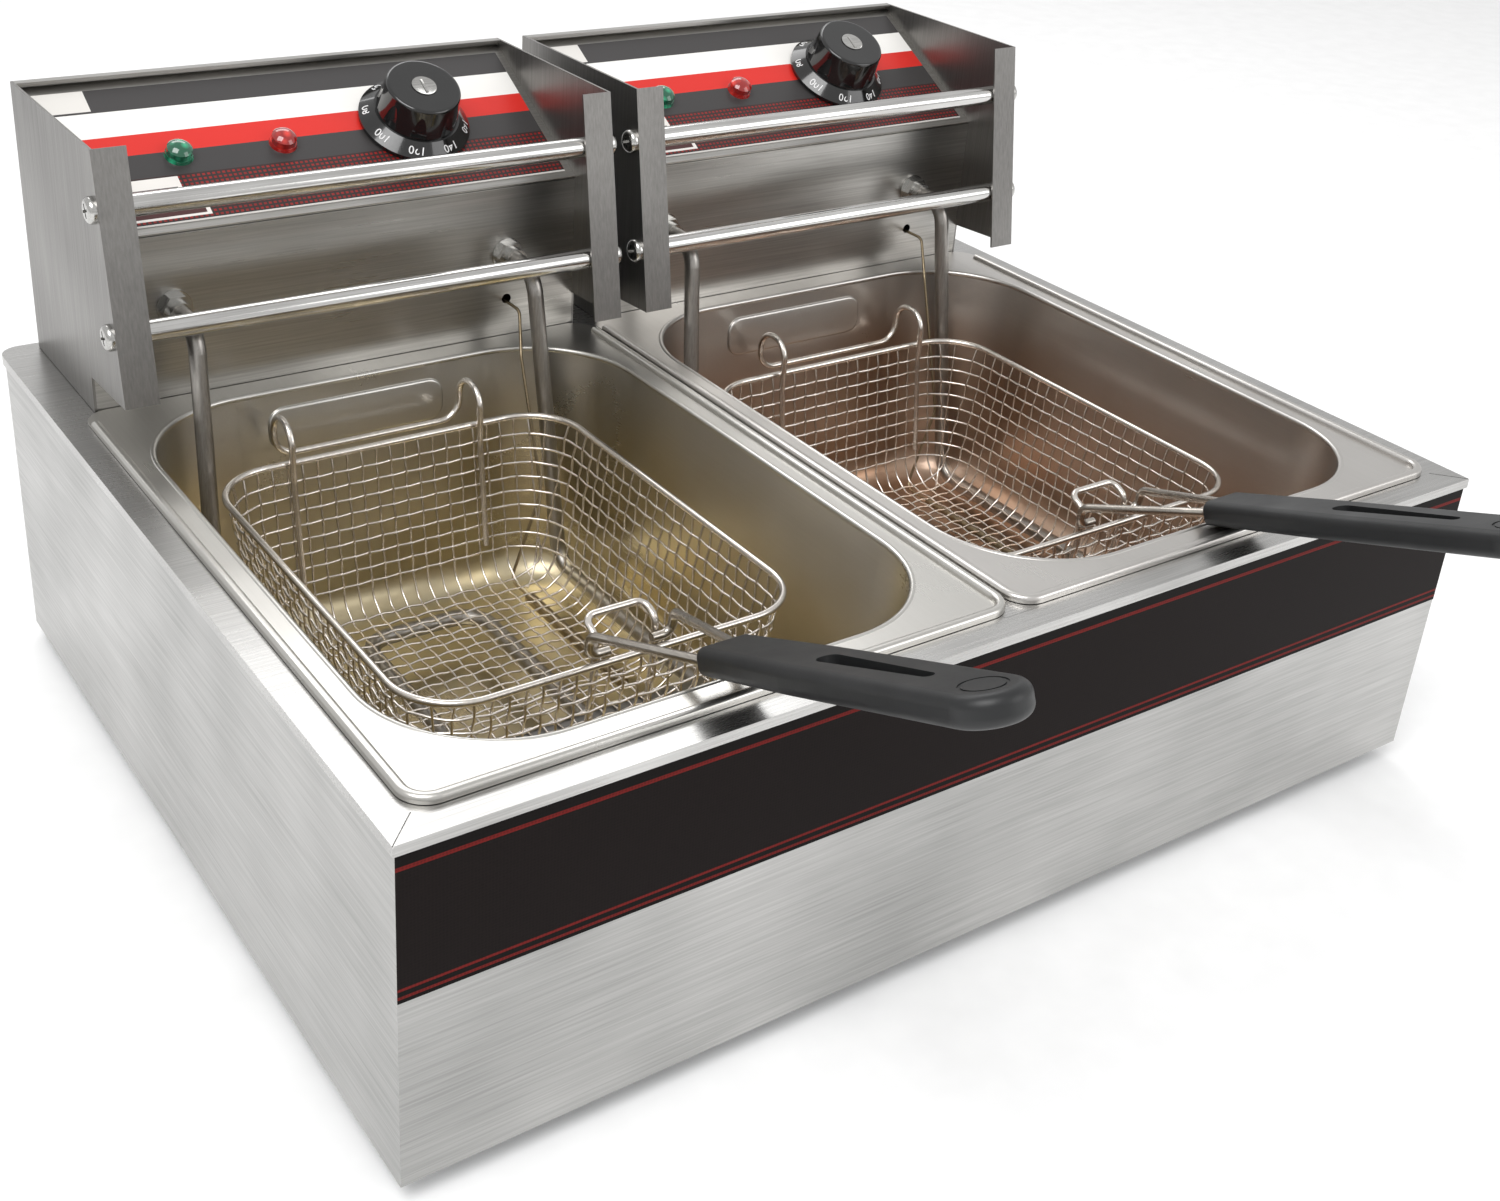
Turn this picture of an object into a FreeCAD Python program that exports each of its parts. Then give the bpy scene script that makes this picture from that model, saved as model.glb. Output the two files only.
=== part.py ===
"""Twin-tank countertop deep fryer.

Lengths are millimetres. X runs to the user's right, Y to the back and Z up. The sizes below measure Y
from the middle of the casing. At the end every piece moves along Y, so that the finished origin lies on
the surface that the feet stand on, under the middle of the whole fryer with its handles.
"""
import FreeCAD, Part
import math
import os

V = FreeCAD.Vector

# ---------------------------------------------------------------- driving sizes
# casing
CASE_WIDTH = 556.0
CASE_DEPTH = 443.0
CASE_HEIGHT = 150.0
CASE_SHEET = 1.2
CASE_REAR_RADIUS = 10.0
FOOT_HEIGHT = 10.0
FOOT_RADIUS = 15.0
FOOT_INSET = 42.0
DECK_LIP = 4.5
DECK_FRONT_STRIP = 11.0
DECK_LEDGE = 10.0
REAR_DECK_DEPTH = 112.5
SEAM_WIDTH = 0.5
SEAM_DEPTH = 0.5
STRIP_TOP_DROP = 5.0
STRIP_HEIGHT = 61.0
STRIP_FILM = 0.3
BACK_PANEL_INSET = 20.0
BACK_PANEL_DROP = 4.0
VENT_COUNT = 7
VENT_PITCH = 24.0
VENT_WIDTH = 6.0
VENT_LENGTH = 80.0
VENT_X = 120.0
VENT_START_Y = -75.0
FOOT_TAPER = 2.5
FOOT_EDGE = 1.5
RAIL_TONGUE = 4.0
RAIL_SKIRT = 18.0
RAIL_SPARE = 1.5
# tanks
TANK_PITCH = 267.0
TANK_RIM_WIDTH = 265.0
TANK_RIM_FRONT = 12.5
TANK_RIM_CORNER = 12.0
TANK_MOUTH_WIDTH = 240.0
TANK_MOUTH_CORNER = 56.0
TANK_FRONT_RIM = 14.5
TANK_REAR_RIM = 13.2
TANK_DEPTH = 129.0
TANK_DRAFT = 8.0
TANK_SHEET = 1.0
TANK_FLOOR_RADIUS = 20.0
BEAD_WIDTH = 4.5
BEAD_HEIGHT = 2.2
BEAD_ROUND = 1.85
BEAD_REAR_GAP = 15.0
# heads
HEAD_WIDTH = 252.0
HEAD_SHEET = 1.2
HEAD_FACE_SETBACK = 92.2
HEAD_REAR_INSET = 6.0
HEAD_TOP = 292.0
HEAD_HEM = 5.0
HEAD_LEDGE = 14.0
PANEL_FOOT_HEIGHT = 81.3
PANEL_ANGLE = 29.4
PANEL_SHEET = 1.0
PANEL_BORDER = 4.0
FILM = 0.4
FILM_TOP_MARGIN = 6.0
PLATE_FRONT_BOTTOM_Y = 81.8
PLATE_FRONT_TOP_Y = 100.3
PLATE_FRONT_LIFT = 21.0
PLATE_NECK_LIFT = 18.0
PLATE_FLANGE = 15.4
# controls, measured from each head's centre and up the sloping panel
KNOB_X = 55.0
KNOB_S = 48.0
KNOB_SKIRT_RADIUS = 28.0
KNOB_CAP_RADIUS = 20.5
KNOB_TOP_RADIUS = 18.5
KNOB_SKIRT_HEIGHT = 7.0
KNOB_HEIGHT = 24.0
KNOB_LOBES = 8
KNOB_LOBE_RADIUS = 9.5
KNOB_LOBE_CENTRE = 28.5
KNOB_DISC = 1.6
KNOB_EDGE = 1.6
KNOB_DIMPLE_RADIUS = 6.5
KNOB_DIMPLE = 0.6
KNOB_LIFT = 1.4
SHAFT_DIAMETER = 6.0
SHAFT_TOP = 18.0
SHAFT_BOTTOM = 19.0
SHAFT_FLAT_START = 6.0
SHAFT_FLAT_DEPTH = 0.8
BUSH_DIAMETER = 10.0
BUSH_HEIGHT = 4.0
THERMOSTAT_WIDTH = 38.0
THERMOSTAT_LENGTH = 34.0
THERMOSTAT_DEPTH = 24.0
THERMOSTAT_DROP = 6.0
THERMOSTAT_EAR_WIDTH = 44.0
THERMOSTAT_EAR_LENGTH = 24.0
TAB_WIDTH = 6.0
TAB_SHEET = 0.8
TAB_LENGTH = 8.0
TAB_PITCH = 12.0
TAB_OFFSET = 8.0
GREEN_LAMP_X = -66.0
RED_LAMP_X = -15.0
LAMP_S = 44.5
LAMP_RADIUS = 6.8
LAMP_BARREL_RADIUS = 5.5
LAMP_BARREL_LENGTH = 20.0
LAMP_BEZEL = 1.6
LAMP_BEZEL_TAPER = 0.5
LAMP_DOME_RADIUS = 8.0
LAMP_DOME_SINK = 2.2
LAMP_DOME_EDGE = 5.9
# hanging rods
ROD_DIAMETER = 10.0
ROD_FLANGE_GAP = 0.2
ROD_UPPER_Z = 265.3
ROD_LOWER_Z = 210.9
ROD_SCREW_HEAD = 12.0
ROD_SCREW_SHANK = 5.8
ROD_SCREW_TALL = 3.6
ROD_SCREW_ROUND = 2.5
ROD_SCREW_LENGTH = 10.0
ROD_BORE_SPARE = 1.0
RECESS_REACH = 3.2
RECESS_HALF_WIDTH = 0.6
RECESS_DEPTH = 1.8
RECESS_TURN = 20.0
# heating elements
ELEMENT_DIAMETER = 8.0
ELEMENT_HALF_PITCH = 86.0
ELEMENT_LOW_HALF_PITCH = 92.0
ELEMENT_INNER_PITCH = 31.0
ELEMENT_ENTRY_Z = 205.4
ELEMENT_ENTRY_DEPTH = 16.0
ELEMENT_DROP_Y = 102.0
ELEMENT_LOW_Y = 79.0
ELEMENT_FRONT_Y = -120.0
ELEMENT_REAR_Y = 55.0
ELEMENT_BEND = 14.0
LEFT_ELEMENT_LIFT = 17.0
RIGHT_ELEMENT_LIFT = 8.0
STRAP_FRONT_Y = -64.0
STRAP_WIDTH = 10.0
STRAP_SHEET = 1.0
STRAP_OVERHANG = 6.0
WASHER_RADIUS = 8.5
WASHER_SHEET = 1.2
NUT_FLATS = 13.0
NUT_TALL = 5.0
COLLAR_RADIUS = 5.4
COLLAR_LENGTH = 4.8
SENSOR_Z = 181.0
SENSOR_HOLE_RADIUS = 2.6
BULB_X = 61.0
BULB_DIAMETER = 6.0
BULB_LENGTH = 90.0
CAPILLARY_DIAMETER = 1.6
CAPILLARY_X = 80.0
CAPILLARY_BEND = 6.0
# parts inside and behind the heads
RESET_X = -60.0
RESET_Z = 235.0
RESET_RADIUS = 4.0
RESET_STAND = 3.2
RESET_DEPTH = 10.0
RESET_EDGE = 0.9
LIMITER_HALF_WIDTH = 15.0
LIMITER_HALF_HEIGHT = 13.0
LIMITER_DEPTH = 26.0
LIMITER_BORE = 14.0
GLAND_X = 70.0
GLAND_Z = 195.0
GLAND_RADIUS = 12.0
GLAND_FLANGE = 3.0
GLAND_NOSE_RADIUS = 10.0
GLAND_LENGTH = 9.0
GLAND_THREAD = 9.0
GLAND_NUT_FLATS = 24.0
GLAND_NUT = 5.0
GLAND_BORE = 4.6
TERMINAL_LEFT_X = -45.0
TERMINAL_WIDTH = 50.0
TERMINAL_LENGTH = 22.0
TERMINAL_HEIGHT = 18.0
TERMINAL_FLOOR = 8.0
TERMINAL_SETBACK = 40.0
TERMINAL_WAYS = 3
TERMINAL_PITCH = 16.0
TERMINAL_FIRST = 9.0
TERMINAL_SLOT = 10.0
TERMINAL_SCREW_RADIUS = 2.5
TERMINAL_SCREW_TOP = 16.0
# baskets
BASKET_WIDTH = 183.0
BASKET_LENGTH = 220.0
BASKET_CENTRE_Y = -25.0
LEFT_BASKET_X = -2.0
RIGHT_BASKET_X = 4.0
BASKET_DEPTH = 82.0
BASKET_DRAFT = 11.0
BASKET_CORNER = 28.0
BASKET_LOW_CORNER = 26.0
BASKET_WALL = 2.0
BASKET_FLOOR_RADIUS = 16.0
WIRE_DIAMETER = 3.2
LEG_DROP = 62.0
LEG_BEND_DROP = 8.0
LEFT_HOOK_X = -4.0
RIGHT_HOOK_X = 12.0
HOOK_CORNER_GAP = 15.0
HOOK_RADIUS = 11.0
HOOK_RISE = 20.0
HOOK_BAR_DROP = 3.5
HOOK_BEND = 10.6
BRACKET_HALF_WIDTH = 14.0
BRACKET_RISE = 14.0
BRACKET_REACH = 9.0
BRACKET_SLOPE = 4.0
BRACKET_BEND = 5.0
# handles
HANDLE_WIRE = 4.0
HANDLE_HALF_WIDTH = 19.3
HANDLE_GRIP_HALF = 9.0
HANDLE_SHOULDER_RISE = 14.0
HANDLE_SHOULDER_LEAN = 1.0
HANDLE_BEND = 5.0
HANDLE_TIP_GAP = 2.5
GRIP_START_REACH = 61.0
LEFT_GRIP_RISE = 29.0
RIGHT_GRIP_RISE = 33.0
LEFT_GRIP_ANGLE = 23.3
RIGHT_GRIP_ANGLE = 20.5
GRIP_LENGTH = 158.0
GRIP_WIDTH = 29.0
GRIP_NECK_WIDTH = 25.0
GRIP_SHOULDER_SHARE = 0.35
GRIP_THICKNESS = 11.0
GRIP_NECK_BEVEL = 2.5
GRIP_EDGE = 4.0
GRIP_TANG = 26.0
SLOT_START = 62.0
SLOT_LENGTH = 58.0
SLOT_WIDTH = 9.0
SLOT_TIP_WIDTH = 5.0
MARK_RADIUS = 8.0
MARK_WIDTH = 1.0
MARK_DEPTH = 0.4
# clearances
MOVING_GAP = 0.3
SEAT_GAP = 0.3
WELL_GAP = 2.0
WELD_GAP = 0.2
SHAFT_GAP = 0.05
THREAD_GAP = 0.05
PAST = 1.0
TOUCH = 0.01

# ---------------------------------------------------------------- sizes that follow
DECK_Z = FOOT_HEIGHT + CASE_HEIGHT
FRONT_Y = -CASE_DEPTH / 2
REAR_Y = CASE_DEPTH / 2
REAR_DECK_Y = REAR_Y - REAR_DECK_DEPTH
TANK_FRONT_Y = FRONT_Y + TANK_RIM_FRONT
FACE_Y = REAR_Y - HEAD_FACE_SETBACK
HEAD_BACK_Y = REAR_Y - HEAD_REAR_INSET
HEAD_BASE_Z = DECK_Z + SEAT_GAP
PANEL_FOOT_Z = DECK_Z + PANEL_FOOT_HEIGHT
TANK_REAR_Y = FACE_Y - 2 * SEAT_GAP
MOUTH_FRONT_Y = TANK_FRONT_Y + TANK_FRONT_RIM
TANK_MOUTH_LENGTH = TANK_REAR_Y - TANK_REAR_RIM - MOUTH_FRONT_Y
MOUTH_CENTRE_Y = MOUTH_FRONT_Y + TANK_MOUTH_LENGTH / 2
RIM_Z = DECK_Z + SEAT_GAP
RIM_TOP_Z = RIM_Z + TANK_SHEET
TANK_FLOOR_Z = DECK_Z - TANK_DEPTH
PLATE_INNER = HEAD_WIDTH / 2 - HEAD_SHEET
ROD_SETBACK = HEAD_SHEET + ROD_DIAMETER / 2 + ROD_FLANGE_GAP
PANEL_RAD = math.radians(PANEL_ANGLE)
WIRE_R = WIRE_DIAMETER / 2
HOOK_HALF_PITCH = BASKET_WIDTH / 2 - BASKET_CORNER - HOOK_CORNER_GAP
RIM_FRONT_Y = BASKET_CENTRE_Y - BASKET_LENGTH / 2 + WIRE_R
RIM_REAR_Y = BASKET_CENTRE_Y + BASKET_LENGTH / 2 - WIRE_R
PIVOT_Y = RIM_FRONT_Y + WIRE_R

NODES = {}


# ---------------------------------------------------------------- shape helpers
def element_height(lift):
    """Return the height of a heating element's lower run whose lift above the tank floor is given."""
    return TANK_FLOOR_Z + TANK_SHEET + lift


def rim_height(lift):
    """Return the height of the rim of the basket that rests on that element's strap."""
    strap_top = element_height(lift) + ELEMENT_DIAMETER / 2 + STRAP_SHEET
    return strap_top + SEAT_GAP + BASKET_DEPTH + WIRE_R


def block(x0, x1, y0, y1, z0, z1):
    """Return a box between two corners."""
    return Part.makeBox(x1 - x0, y1 - y0, z1 - z0, V(x0, y0, z0))


def rounded_wire(cx, cy, z, length_x, length_y, radius):
    """Return a closed rectangle with round corners, lying at height z."""
    hx, hy, r = length_x / 2, length_y / 2, radius
    k = r * (1 - math.sqrt(0.5))
    pts = []
    for sx, sy in ((1, -1), (1, 1), (-1, 1), (-1, -1)):
        pts.append((V(cx + sx * (hx - r), cy + sy * hy, z), V(cx + sx * (hx - k), cy + sy * (hy - k), z),
                    V(cx + sx * hx, cy + sy * (hy - r), z)))
    corners = [pts[0], pts[1][::-1], pts[2], pts[3][::-1]]
    edges = []
    for i, (start, middle, end) in enumerate(corners):
        edges.append(Part.Arc(start, middle, end).toShape())
        edges.append(Part.LineSegment(end, corners[(i + 1) % 4][0]).toShape())
    return Part.Wire(edges)


def slab(wire, height):
    """Return the solid that a closed flat wire sweeps upward."""
    return Part.Face(wire).extrude(V(0, 0, height))


def edges_below(solid, z):
    """Return the edges of a solid that lie no higher than z."""
    return [e for e in solid.Edges if e.BoundBox.ZMax < z + TOUCH]


def edges_above(solid, z):
    """Return the edges of a solid that lie no lower than z."""
    return [e for e in solid.Edges if e.BoundBox.ZMin > z - TOUCH]


def tub(top_wire, floor_wire, floor_radius):
    """Return a tapered solid between two wires, with its lower edge rounded."""
    solid = Part.makeLoft([floor_wire, top_wire], True, True)
    low = min(v.Z for v in solid.Vertexes)
    return solid.makeFillet(floor_radius, edges_below(solid, low))


def profile_x(points, x0, x1):
    """Return the prism of a closed outline of (y, z) points between two x positions."""
    wire = Part.makePolygon([V(x0, y, z) for y, z in points] + [V(x0, *points[0])])
    return Part.Face(wire).extrude(V(x1 - x0, 0, 0))


def folded_sheet(points, thickness, x0, x1):
    """Return a folded sheet along X, whose material lies to the left of its (y, z) line."""
    inner = []
    count = len(points)
    for i in range(count):
        before = points[i] if i == 0 else points[i - 1]
        here = points[i]
        after = points[i] if i == count - 1 else points[i + 1]
        first = unit(before, here) if i > 0 else unit(here, after)
        second = unit(here, after) if i < count - 1 else unit(before, here)
        n1, n2 = (-first[1], first[0]), (-second[1], second[0])
        scale = thickness / (1 + n1[0] * n2[0] + n1[1] * n2[1])
        inner.append((here[0] + (n1[0] + n2[0]) * scale, here[1] + (n1[1] + n2[1]) * scale))
    return profile_x(points + inner[::-1], x0, x1)


def unit(a, b):
    """Return the unit direction from a to b in a plane."""
    length = math.hypot(b[0] - a[0], b[1] - a[1])
    return ((b[0] - a[0]) / length, (b[1] - a[1]) / length)


def rod(start, end, radius):
    """Return a round bar between two points."""
    axis = end - start
    return Part.makeCylinder(radius, axis.Length, start, axis)


def bent_wire(points, bend, diameter):
    """Return a round wire that follows points with a tangent arc at each corner."""
    edges = []
    here = points[0]
    for i in range(1, len(points) - 1):
        a = (points[i - 1] - points[i]).normalize()
        b = (points[i + 1] - points[i]).normalize()
        half = a.getAngle(b) / 2
        room = 0.49 * min((points[i - 1] - points[i]).Length, (points[i + 1] - points[i]).Length)
        back = min(bend / math.tan(half), room)
        radius = back * math.tan(half)
        start, end = points[i] + a * back, points[i] + b * back
        middle = points[i] + (a + b).normalize() * (radius / math.sin(half) - radius)
        if (start - here).Length > 1e-6:
            edges.append(Part.LineSegment(here, start).toShape())
        edges.append(Part.Arc(start, middle, end).toShape())
        here = end
    edges.append(Part.LineSegment(here, points[-1]).toShape())
    path = Part.Wire(edges)
    ring = Part.Wire([Part.makeCircle(diameter / 2, points[0], points[1] - points[0])])
    return path.makePipeShell([ring], True, False)


def on_panel(shape, centre_x):
    """Place a shape built on a flat panel (x, up the slope, outward) on a head's sloping panel."""
    spin = FreeCAD.Rotation(V(1, 0, 0), PANEL_ANGLE)
    copy = shape.copy()
    copy.Placement = FreeCAD.Placement(V(centre_x, FACE_Y, PANEL_FOOT_Z), spin)
    return copy


def group(shapes):
    """Return separate solids as one compound."""
    return Part.makeCompound(shapes)


# ---------------------------------------------------------------- casing
def casing():
    """Make the folded body, its deck, panels, printed strip and feet."""
    half = CASE_WIDTH / 2
    t = CASE_SHEET
    wall_top = DECK_Z - t
    outer = case_outline(half - t, FRONT_Y + t, REAR_Y - t, FOOT_HEIGHT, CASE_REAR_RADIUS - t)
    inner = case_outline(half - 2 * t, FRONT_Y + 2 * t, REAR_Y - 2 * t, FOOT_HEIGHT, CASE_REAR_RADIUS - 2 * t)
    height = wall_top - FOOT_HEIGHT
    shell = slab(outer, height).cut(slab(inner, height))
    gap = half - BACK_PANEL_INSET
    shell = shell.cut(block(-gap, gap, REAR_Y - 3 * t, REAR_Y, FOOT_HEIGHT + BACK_PANEL_INSET, wall_top))
    NODES["casing_shell"] = shell

    base = slab(case_outline(half - 2 * t, FRONT_Y + 2 * t, REAR_Y - 2 * t, FOOT_HEIGHT,
                             CASE_REAR_RADIUS - 2 * t), t)
    for x in (-VENT_X, VENT_X):
        for i in range(VENT_COUNT):
            y = VENT_START_Y + VENT_PITCH * i
            base = base.cut(block(x - VENT_LENGTH / 2, x + VENT_LENGTH / 2, y, y + VENT_WIDTH, 0, DECK_Z))
    NODES["base_plate"] = base

    back_y = REAR_Y - 2 * t
    low = FOOT_HEIGHT + t
    side = half - 3 * t - CASE_REAR_RADIUS
    NODES["back_panel"] = block(-side, side, back_y - t, back_y, low, wall_top - BACK_PANEL_DROP)

    NODES["deck_frame"] = deck_frame(half, t)
    NODES["middle_rail"] = middle_rail(t)

    rear = slab(case_outline(half, REAR_DECK_Y, REAR_Y, DECK_Z - DECK_LIP, CASE_REAR_RADIUS), DECK_LIP)
    hollow = case_outline(half - t, REAR_DECK_Y - PAST, REAR_Y - t, DECK_Z - DECK_LIP, CASE_REAR_RADIUS - t)
    rear = rear.cut(slab(hollow, DECK_LIP - t))
    for sign in (-1, 1):
        rear = rear.cut(tank_well(sign * TANK_PITCH / 2))
    NODES["rear_deck_panel"] = rear

    top = DECK_Z - STRIP_TOP_DROP
    strip_half = half - t
    NODES["front_strip"] = block(-strip_half, strip_half, FRONT_Y + t - STRIP_FILM, FRONT_Y + t,
                                 top - STRIP_HEIGHT, top)

    feet = []
    for sx in (-1, 1):
        for sy in (-1, 1):
            spot = V(sx * (half - FOOT_INSET), sy * (REAR_Y - FOOT_INSET), 0)
            foot = Part.makeCone(FOOT_RADIUS - FOOT_TAPER, FOOT_RADIUS, FOOT_HEIGHT, spot)
            feet.append(foot.makeFillet(FOOT_EDGE, edges_below(foot, 0)))
    NODES["feet"] = group(feet)


def case_outline(half, front, back, z, radius):
    """Return an outline with square front corners and round rear corners."""
    k = radius * (1 - math.sqrt(0.5))
    a, b = V(-half, front, z), V(half, front, z)
    c, d = V(half, back - radius, z), V(half - radius, back, z)
    e, f = V(-half + radius, back, z), V(-half, back - radius, z)
    edges = [Part.LineSegment(a, b).toShape(), Part.LineSegment(b, c).toShape(),
             Part.Arc(c, V(half - k, back - k, z), d).toShape(), Part.LineSegment(d, e).toShape(),
             Part.Arc(e, V(-half + k, back - k, z), f).toShape(), Part.LineSegment(f, a).toShape()]
    return Part.Wire(edges)


def tank_well(cx):
    """Return the hole that a tank's wall passes through, down the whole casing."""
    spare = TANK_SHEET + WELL_GAP
    wire = rounded_wire(cx, MOUTH_CENTRE_Y, FOOT_HEIGHT, TANK_MOUTH_WIDTH + 2 * spare,
                        TANK_MOUTH_LENGTH + 2 * spare, TANK_MOUTH_CORNER + spare)
    return slab(wire, CASE_HEIGHT)


def deck_frame(half, t):
    """Return the front and side strips of the deck as one folded frame with mitred corners."""
    low = DECK_Z - DECK_LIP
    frame = block(-half, half, FRONT_Y, REAR_DECK_Y, low, DECK_Z)
    frame = frame.cut(block(-half + t, half - t, FRONT_Y + t, REAR_DECK_Y, low, DECK_Z - t))
    reach = TANK_PITCH / 2 + TANK_RIM_WIDTH / 2 - DECK_LEDGE
    frame = frame.cut(block(-reach, reach, FRONT_Y + DECK_FRONT_STRIP + DECK_LEDGE, REAR_DECK_Y, low, DECK_Z))
    for sign in (-1, 1):
        frame = frame.cut(tank_well(sign * TANK_PITCH / 2))
    rail = rail_half() + SEAT_GAP / 2
    end = FRONT_Y + DECK_FRONT_STRIP
    frame = frame.cut(block(-rail, rail, end, REAR_DECK_Y, DECK_Z - t, DECK_Z))
    tongue = rail + RAIL_TONGUE
    frame = frame.fuse(block(-tongue, tongue, end - RAIL_TONGUE, end + DECK_LEDGE, DECK_Z - 2 * t,
                             DECK_Z - t))
    tank_corner = TANK_PITCH / 2 + TANK_RIM_WIDTH / 2
    for sign in (-1, 1):
        a = V(sign * half, FRONT_Y, DECK_Z - SEAM_DEPTH)
        b = V(sign * tank_corner, TANK_FRONT_Y, DECK_Z - SEAM_DEPTH)
        run = (b - a).normalize()
        side = V(-run.y, run.x, 0) * (SEAM_WIDTH / 2)
        far = b + run * TANK_SHEET
        wire = Part.makePolygon([a + side, far + side, far - side, a - side, a + side])
        frame = frame.cut(slab(wire, SEAM_DEPTH))
    return frame.removeSplitter()


def rail_half():
    """Return half the width of the rail between the tanks."""
    return TANK_PITCH / 2 - TANK_MOUTH_WIDTH / 2 - TANK_SHEET - WELL_GAP - RAIL_SPARE


def middle_rail(t):
    """Return the channel that carries the inner rims of both tanks."""
    half = rail_half()
    start = FRONT_Y + DECK_FRONT_STRIP + SEAT_GAP / 2
    rail = block(-half, half, start, REAR_DECK_Y, DECK_Z - t, DECK_Z)
    skirt = start + DECK_LEDGE + WELL_GAP
    for sign in (-1, 1):
        x0 = sign * half - (t if sign > 0 else 0)
        rail = rail.fuse(block(x0, x0 + t, skirt, REAR_DECK_Y, DECK_Z - RAIL_SKIRT, DECK_Z - t))
    return rail.removeSplitter()


# ---------------------------------------------------------------- one side of the fryer
def tank(cx):
    """Return the drawn tank with its rolled bead."""
    length = TANK_REAR_Y - TANK_FRONT_Y
    rim_y = (TANK_REAR_Y + TANK_FRONT_Y) / 2
    rim = slab(rounded_wire(cx, rim_y, RIM_Z, TANK_RIM_WIDTH, length, TANK_RIM_CORNER), TANK_SHEET)
    bead = slab(rounded_wire(cx, rim_y, RIM_TOP_Z, TANK_RIM_WIDTH, length, TANK_RIM_CORNER), BEAD_HEIGHT)
    bead_inner = rounded_wire(cx, rim_y, RIM_TOP_Z, TANK_RIM_WIDTH - 2 * BEAD_WIDTH, length - 2 * BEAD_WIDTH,
                              TANK_RIM_CORNER - BEAD_WIDTH)
    bead = bead.cut(slab(bead_inner, BEAD_HEIGHT))
    top = RIM_TOP_Z + BEAD_HEIGHT
    bead = bead.makeFillet(BEAD_ROUND, edges_above(bead, top))
    cut_y = TANK_REAR_Y - BEAD_REAR_GAP
    bead = bead.cut(block(cx - TANK_PITCH, cx + TANK_PITCH, cut_y, REAR_Y, RIM_TOP_Z, DECK_Z * 2))
    wall = TANK_SHEET
    floor_w = TANK_MOUTH_WIDTH - 2 * TANK_DRAFT
    floor_l = TANK_MOUTH_LENGTH - 2 * TANK_DRAFT
    outside = tub(rounded_wire(cx, MOUTH_CENTRE_Y, RIM_TOP_Z, TANK_MOUTH_WIDTH + 2 * wall,
                               TANK_MOUTH_LENGTH + 2 * wall, TANK_MOUTH_CORNER + wall),
                  rounded_wire(cx, MOUTH_CENTRE_Y, TANK_FLOOR_Z, floor_w + 2 * wall, floor_l + 2 * wall,
                               TANK_MOUTH_CORNER - TANK_DRAFT + wall), TANK_FLOOR_RADIUS + wall)
    inside = tub(rounded_wire(cx, MOUTH_CENTRE_Y, RIM_TOP_Z, TANK_MOUTH_WIDTH, TANK_MOUTH_LENGTH,
                              TANK_MOUTH_CORNER),
                 rounded_wire(cx, MOUTH_CENTRE_Y, TANK_FLOOR_Z + wall, floor_w, floor_l,
                              TANK_MOUTH_CORNER - TANK_DRAFT), TANK_FLOOR_RADIUS)
    return rim.fuse([bead, outside]).cut(inside).removeSplitter()


def head(cx, lift, tag):
    """Make one control head: shell, side plates, panel, controls, rods, element and inner parts."""
    slope = (math.cos(PANEL_RAD), math.sin(PANEL_RAD))
    back, t = HEAD_BACK_Y, PANEL_SHEET
    foot = PANEL_FOOT_Z - (t + SEAT_GAP) / slope[0]
    line = [(FACE_Y + HEAD_LEDGE * slope[0], foot + HEAD_LEDGE * slope[1]), (FACE_Y, foot),
            (FACE_Y, HEAD_BASE_Z), (back, HEAD_BASE_Z), (back, HEAD_TOP), (back - HEAD_HEM, HEAD_TOP)]
    shell = folded_sheet(line, t, cx - PLATE_INNER, cx + PLATE_INNER)
    pitch = ELEMENT_HALF_PITCH
    entry = ELEMENT_DIAMETER / 2 + THREAD_GAP
    holes = [(-pitch, ELEMENT_ENTRY_Z, entry), (pitch, ELEMENT_ENTRY_Z, entry),
             (pitch, SENSOR_Z, SENSOR_HOLE_RADIUS)]
    for x, z, radius in holes:
        shell = shell.cut(rod(V(cx + x, FACE_Y - PAST, z), V(cx + x, FACE_Y + t + PAST, z), radius))
    reset_at = V(cx + RESET_X, back, RESET_Z)
    gland_at = V(cx + GLAND_X, back, GLAND_Z)
    for at, radius in ((reset_at, RESET_RADIUS + MOVING_GAP), (gland_at, GLAND_THREAD)):
        shell = shell.cut(rod(at - V(0, t + PAST, 0), at + V(0, PAST, 0), radius))
    NODES["head_shell_" + tag] = shell

    NODES["side_plates_" + tag] = group([side_plate(cx, -1), side_plate(cx, 1)])
    rods(cx, tag)
    controls(cx, tag)
    element(cx, element_height(lift), tag)
    inner_parts(cx, tag, reset_at, gland_at)


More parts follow.
